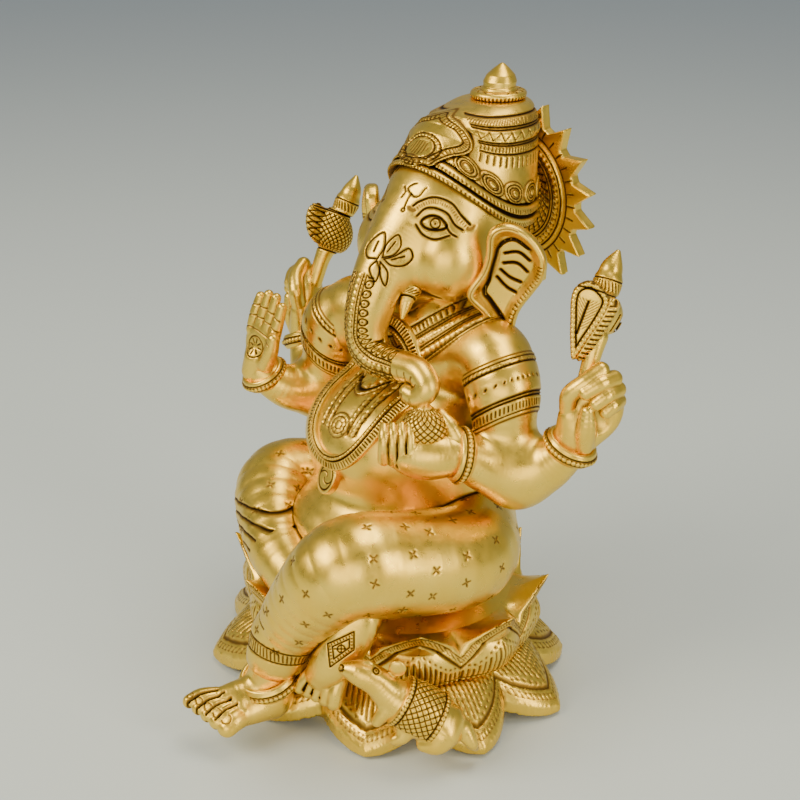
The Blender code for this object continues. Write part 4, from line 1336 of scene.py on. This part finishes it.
def chase_torso(c):
    """Broad collar in four courses, bead strands, a rosette on the chest and the tops of the armlets."""
    p = c.p
    wide = np.sqrt(p[:, 0] ** 2 + 49.0)
    height = (p[:, 2] - 1.045 * wide - 123.5) * 0.69
    collar = np.flatnonzero((p[:, 2] > 128) & (p[:, 1] < 38) & (np.abs(height - 8.0) < 12.0))
    h, run = height[collar], (p[collar, 2] * 0.72 + np.abs(p[collar, 0]) * 0.69)
    c.lift(-h, 0.8, collar)
    for level in (0.9, 4.6, 5.6, 9.4, 10.4, 14.4):
        c.groove(h - level, 0.42, 0.65, collar)
    c.beads(h - 2.8, run, 2.3, 1.25, 0.5, collar)
    c.beads(h - 7.5, run, 1.5, 0.7, 0.35, collar)
    c.hatch(np.abs(h - 12.4) - 1.6, run, 1.4, 0.3, 0.4, collar)
    strands = np.flatnonzero((p[:, 1] < 5) & (np.abs(p[:, 0]) < 13) & (p[:, 2] > 118) & (p[:, 2] < 146))
    across, z = p[strands, 0], p[strands, 2]
    for column in (-9.0, -5.4, 5.4, 9.0):
        off = across - column * (1.0 + 0.012 * (z - 118))
        c.groove(off - 1.3, 0.35, 0.6, strands)
        c.beads(off, z, 1.7, 0.8, 0.6, strands)
    rosette(c, (1.0, -28.0, 121.0), (0, -0.9, 0.44), 5.0)
    for side in (1, -1):
        chase_upper_arm(side)(c)


def chase_upper_arm(side):
    """Three joined armlets, higher on the outside of the arm, and creases in front of the elbow."""
    def relief(c):
        q = mirrored(c.p, side)
        height = (q - vec(64.4, 10.0, 149.7)) @ unit((-0.75, 0.10, 1.0))
        keep = np.flatnonzero((q[:, 0] > 39.0) & (np.abs(height) < 15.0))
        h = height[keep]
        arc = np.arctan2(q[keep, 0] - 54, 15 - q[keep, 1]) * 15.0
        c.lift(np.abs(h + 1.1) - 11.2, 0.6, keep)
        for level in (6.6, -5.4, -6.6):
            c.groove(h - level, 0.5, 0.8, keep)
        c.groove(h - 8.9, 0.3, 0.3, keep)
        c.beads(h - 7.8, arc, 1.7, 0.75, 0.35, keep)
        c.groove(np.hypot(fold(arc, 4.4), h - 0.6), 0.8, 0.8, keep)
        c.hatch(np.abs(h + 9.2) - 1.4, arc, 1.9, 0.42, 0.5, keep)
        c.groove(h + 11.2, 0.3, 0.35, keep)
        crease = (q - vec(60, 6, 108)) @ unit((0.8, 0.1, 0.6))
        front = np.flatnonzero((q[:, 1] < 12) & (q[:, 2] > 98) & (q[:, 2] < 118))
        c.groove(crease[front] - 6.0 + 0.03 * (q[front, 2] - 108) ** 2, 0.45, 0.55, front)
    return relief


# ---- ornaments

LOOP_HALF, LOOP_DROP, LOOP_MIDDLE = 18.5, 25.0, 131.5   # the necklace's half width, half height and z


def necklace_route():
    """Closed loop that hangs from the neck over the chest and belly."""
    t = np.linspace(0.0, 2 * math.pi, 49)
    x, z = LOOP_HALF * np.sin(t), LOOP_MIDDLE - LOOP_DROP * np.cos(t)
    y = np.full_like(x, -60.0)
    for _ in range(60):
        spot = np.stack([x, y, z], axis=1).astype(np.float32)
        y = y + 0.8 * np.maximum(torso_mass(spot), -5.0)
    return np.stack([x, y - 0.2, z], axis=1).astype(np.float32)


NECKLACE = necklace_route()


def necklace_outward(p):
    """Distance outward from the middle line of the loop, as seen from the front."""
    up = p[:, 2] - LOOP_MIDDLE
    reach = np.hypot(p[:, 0], up * LOOP_HALF / LOOP_DROP)
    return (reach - 19.0) * (1.0 + 0.28 * np.abs(up) / np.maximum(reach, 1.0) * 0.84)


def necklace_shape(p):
    torso = torso_mass(p)
    band = smooth_max(np.abs(necklace_outward(p)) - 3.4, torso - 1.9, 1.2)
    return np.maximum(np.maximum(band, -torso - 1.2), p[:, 1] - 8.0)


def chase_necklace(c):
    _, place = along(c.p, NECKLACE)
    out = necklace_outward(c.p)
    c.groove(out + 0.9, 0.42, 0.9)
    c.hatch(np.abs(out - 1.2) - 1.5, place, 1.35, 0.32, 0.6)
    c.groove(out + 2.7, 0.3, 0.35)
    c.beads(out + 1.9, place, 1.5, 0.7, 0.3)


def pendant_place(p):
    """Coordinates in the pendant's plane, and the distance outside its oval edge."""
    q = local(p, (0, -32.0, 98.5), (0, -0.93, 0.36))
    return q, (np.hypot(q[:, 0] / 5.0, q[:, 1] / 7.2) - 1.0) * 5.0


def pendant_shape(p):
    q, leaf = pendant_place(p)
    return smooth_max(leaf, np.abs(q[:, 2]) - 2.2, 1.0)


def chase_pendant(c):
    q, leaf = pendant_place(c.p)
    c.groove(leaf + 1.3, 0.35, 0.45)
    swirl = np.arctan2(q[:, 1], q[:, 0]) - 0.8 * np.hypot(q[:, 0], q[:, 1])
    c.groove(np.where(leaf < -1.6, np.abs(np.sin(swirl)) * 1.4, FAR), 0.4, 0.4)


# ---- mouse

MOUSE_BODY = ((73, -37, 19, 8.8), (67, -44, 24, 9.8), (59.5, -51.5, 31.5, 7.2), (55, -55.5, 37.5, 5.9),
              (50.5, -59.8, 41.2, 5.3), (45.5, -64, 42.8, 2.6))


def mouse_shape(p):
    body = limb(p, MOUSE_BODY)
    for side in (-1, 1):
        lobe = ellipsoid(p, (56.0 + 4.2 * side, -54.0 + 4.2 * side, 43.6), (3.5, 1.2, 3.6), turn("Z", 45))
        body = smooth_min(body, lobe, 1.0)
    fore = melt(0.8, limb(p, ((66, -50, 21, 4.4), (66.2, -52.5, 17.0, 3.2), (64.5, -55, 15.4, 2.2))),
                limb(p, ((60, -56, 27, 3.6), (58.5, -59, 23, 2.4))))
    hind = limb(p, ((76, -40, 17.5, 6.8), (75.4, -43.5, 14.4, 4.9), (72.4, -47, 13.6, 3.0)))
    tail = limb(p, ((79, -32, 17, 4.0), (82.5, -31, 12, 2.6), (82, -28, 8, 1.6)))
    return melt(1.6, body, fore, hind, tail)


def chase_mouse(c):
    for side in (-1, 1):
        keep, flat = c.patch((50.6 + 3.4 * side, -60 + 3.4 * side, 42.4), (0.7 * side, 0.3 * side - 0.5, 0.5),
                             reach=2.6, depth=4.0)
        r = np.hypot(flat[:, 0], flat[:, 1])
        c.groove(r - 1.2, 0.35, 0.45, keep)
        c.groove(r, 0.4, 0.4, keep)


SADDLE_AXIS, SADDLE_MIDDLE = unit((-9.0, -9.5, 8.0)), vec(66, -45, 25)


def saddle_shape(p):
    cloth = limb(p, ((70.5, -40, 21.5, 11.2), (66, -45, 25.5, 11.3), (61.5, -49.5, 29.5, 10.3)))
    q = p - SADDLE_MIDDLE
    below = q @ unit((0.1, 0.45, 0.9)) + 7.5
    return smooth_max(smooth_max(cloth, np.abs(q @ SADDLE_AXIS) - 9.0, 0.8), -below, 0.8)


def chase_saddle(c):
    q = c.p - SADDLE_MIDDLE
    station = q @ SADDLE_AXIS
    side = unit(np.cross(SADDLE_AXIS, vec(0, 0, 1)))
    angle = np.arctan2(q @ side, q @ np.cross(side, SADDLE_AXIS)) * 11.0
    inside = np.abs(station) - 6.4
    cross_hatch(c, inside, angle, station, 3.0, 0.36, 0.45)
    c.groove(np.abs(station) - 6.6, 0.4, 0.5)
    c.beads(np.abs(station) - 7.8, angle, 1.9, 0.8, 0.35)


# ---- making every casting

def make_base():
    sculpt("lotus_lower_tier", (-88, -75, -1), (88, 75, 25.5), 0.62, lower_part, chase_lower, wear=0.8)
    sculpt("lotus_upper_tier", (-78, -67, 23), (78, 67, 55), 0.58, upper_part(-1), chase_upper, wear=0.85)
    sculpt("seat_dome", (-65, -55, 23), (65, 55, 57), 0.9, upper_part(1))


def make_body():
    sculpt("torso", (-58, -46, 52), (58, 60, 180), 0.62, torso_shape, chase_torso,
           beside=[left_leg_shape, right_leg_shape])
    sculpt("left_leg", (5, -82, 22), (74, 44, 102), 0.55, left_leg_shape, chase_left_leg,
           beside=[torso_mass, tucked_foot_shape])
    sculpt("right_leg", (-73, -62, 40), (34, 47, 104), 0.62, right_leg_shape, chase_right_leg)
    sculpt("front_foot", (-14, -108, 4), (22, -60, 42), 0.34, front_foot_shape, chase_front_foot)
    sculpt("tucked_foot", (16, -73, 19), (50, -36, 70), 0.34, tucked_foot_shape, chase_sole)
    make_bangle("anklet", (-8, -88, 16), (24, -57, 33), (8, -72.5, 24.5), (0, -0.35, 1), 10.5, 2.6)
    for side, name in ((1, "left"), (-1, "right")):
        make_arm(side, name)


def mirrored_box(side, low, high):
    """Box of one side's piece, given for the left one."""
    if side > 0:
        return low, high
    return (-high[0], *low[1:]), (-low[0], *high[1:])


def make_arm(side, name):
    box = mirrored_box(side, (33, -4, 84), (76, 42, 172))
    sculpt(name + "_upper_arm", *box, 0.45, arm_part(side, 1), chase_upper_arm(side))
    box = mirrored_box(side, (50, 4, 88), (92, 36, 136))
    sculpt(name + "_back_forearm", *box, 0.5, arm_part(side, 2))
    box = mirrored_box(side, (67, 9, 114), (94, 37, 131))
    make_bangle(name + "_back_bangle", *box, (side * 80.2, 22.8, 122.4), (side * 0.45, 0.15, 1.0), 8.8, 2.4)
    box = mirrored_box(side, (70, 10, 114), (101, 45, 161))
    sculpt(name + "_back_hand", *box, 0.34, back_hand_shape(side))


def make_front_hands():
    sculpt("left_front_forearm", (38, -18, 88), (76, 28, 128), 0.5, arm_part(1, 3))
    sculpt("right_front_forearm", (-78, -22, 88), (-44, 28, 130), 0.5, arm_part(-1, 3))
    make_bangle("left_front_bangle", (36, -21, 104), (64, 7, 131),
                (50, -7, 117.5), (-0.45, -0.85, 0.25), 9.0, 2.3)
    make_bangle("right_front_bangle", (-80, -24, 109), (-56, 1, 127),
                (-68, -11.5, 118), (-0.1, -0.55, 1.0), 8.4, 2.2)
    sculpt("left_front_hand", (22, -32, 104), (60, 4, 140), 0.34, left_front_hand_shape, chase_left_fingers)
    sculpt("right_front_hand", (-82, -22, 111), (-50, -2, 159), 0.34, right_front_hand_shape,
           chase_raised_hand)
    sculpt("modak_sweet", (27, -26, 117), (50, -4, 141), 0.32, sweet_shape, chase_sweet)
    sculpt("conch_emblem", (65, 18, 142), (91, 56, 198), 0.32, conch_shape, chase_conch)
    sculpt("axe_emblem", (-91, 20, 142), (-65, 56, 198), 0.32, axe_shape, chase_axe)


def make_head():
    sculpt("head", (-34, -6, 157), (34, 68, 230), 0.42, head_shape, chase_face)
    sculpt("trunk", (-18, -25, 131), (45, 30, 212), 0.38, trunk_shape, chase_face)
    sculpt("left_tusk", (5, -9, 160), (21, 14, 184), 0.30, tusk_shape(1, 1.0), chase_tusk(1))
    sculpt("right_tusk", (-21, -9, 162), (-5, 14, 184), 0.30, tusk_shape(-1, 0.55), chase_tusk(-1))
    for side, name in ((1, "left"), (-1, "right")):
        box = mirrored_box(side, (24, 12, 146), (58, 46, 205))
        sculpt(name + "_ear", *box, 0.40, ear_shape(side), chase_ear(side))
    sculpt("crown", (-35, 2, 188), (37, 78, 242), 0.42, crown_shape, chase_crown)
    sculpt("crown_finial", (-13, 48, 239), (13, 76, 255), 0.28, finial_shape, chase_finial)
    sculpt("halo", (-44, 66, 155), (44, 84, 244), 0.45, halo_shape, chase_halo)


def make_ornaments():
    sculpt("necklace", (-28, -38, 101), (28, 10, 162), 0.36, necklace_shape, chase_necklace)
    sculpt("necklace_pendant", (-7, -39, 89), (7, -28, 108), 0.30, pendant_shape, chase_pendant)
    sculpt("mouse", (42, -72, 1), (90, -24, 50), 0.36, mouse_shape, chase_mouse)
    sculpt("saddle_cloth", (50, -62, 10), (84, -28, 46), 0.34, saddle_shape, chase_saddle)


make_base()
make_body()
make_head()
make_front_hands()
make_ornaments()


# ---- camera, floor and light

CAMERA_AZIMUTH, CAMERA_ELEVATION = math.radians(47.33), math.radians(22.94)
CAMERA_DISTANCE, CAMERA_LENS, CAMERA_TARGET = 0.63848, 68.97, Vector((-0.00007, 0.00708, 0.12132))


def make_camera():
    camera = bpy.data.objects.new("camera", bpy.data.cameras.new("camera"))
    camera.data.sensor_width = 36.0
    camera.data.lens = CAMERA_LENS
    flat = math.cos(CAMERA_ELEVATION)
    back = Vector((math.sin(CAMERA_AZIMUTH) * flat, -math.cos(CAMERA_AZIMUTH) * flat,
                   math.sin(CAMERA_ELEVATION)))
    camera.location = CAMERA_TARGET + back * CAMERA_DISTANCE
    camera.rotation_euler = back.to_track_quat("Z", "Y").to_euler()
    bpy.context.scene.collection.objects.link(camera)
    bpy.context.scene.camera = camera


def make_floor():
    """Wide, flat, pale board that the figure stands on."""
    mesh = bpy.data.meshes.new("floor")
    mesh.from_pydata([(-4, -4, 0), (4, -4, 0), (4, 4, 0), (-4, 4, 0)], [], [(0, 1, 2, 3)])
    floor = bpy.data.objects.new("floor", mesh)
    bpy.context.scene.collection.objects.link(floor)
    material = bpy.data.materials.new("pale_board")
    material.use_nodes = True
    shader = material.node_tree.nodes["Principled BSDF"]
    shader.inputs["Base Color"].default_value = (0.60, 0.69, 0.82, 1.0)
    shader.inputs["Roughness"].default_value = 0.55
    floor.data.materials.append(material)


WARM_WHITE = (1.0, 0.87, 0.56)
LIGHT_TARGET = (0.0, 0.0, 0.12)


def area_light(name, place, size, power):
    lamp = bpy.data.lights.new(name, "AREA")
    lamp.shape = "RECTANGLE"
    lamp.size, lamp.size_y = size
    lamp.energy = power
    lamp.color = WARM_WHITE
    obj = bpy.data.objects.new(name, lamp)
    obj.location = place
    obj.rotation_euler = (Vector(place) - Vector(LIGHT_TARGET)).to_track_quat("Z", "Y").to_euler()
    bpy.context.scene.collection.objects.link(obj)


def make_light():
    area_light("key", (-0.35, -0.95, 0.95), (0.8, 0.6), 14.0)
    area_light("side", (1.15, 0.15, 0.55), (0.35, 0.9), 7.0)
    area_light("top", (0.1, 0.25, 1.25), (0.8, 0.5), 8.0)
    area_light("fill", (0.75, -1.0, 0.40), (1.1, 0.7), 7.0)
    world = bpy.data.worlds.new("studio")
    bpy.context.scene.world = world
    world.use_nodes = True
    background = world.node_tree.nodes["Background"]
    background.inputs["Color"].default_value = (0.41, 0.42, 0.39, 1.0)
    background.inputs["Strength"].default_value = 0.75


make_camera()
make_floor()
make_light()
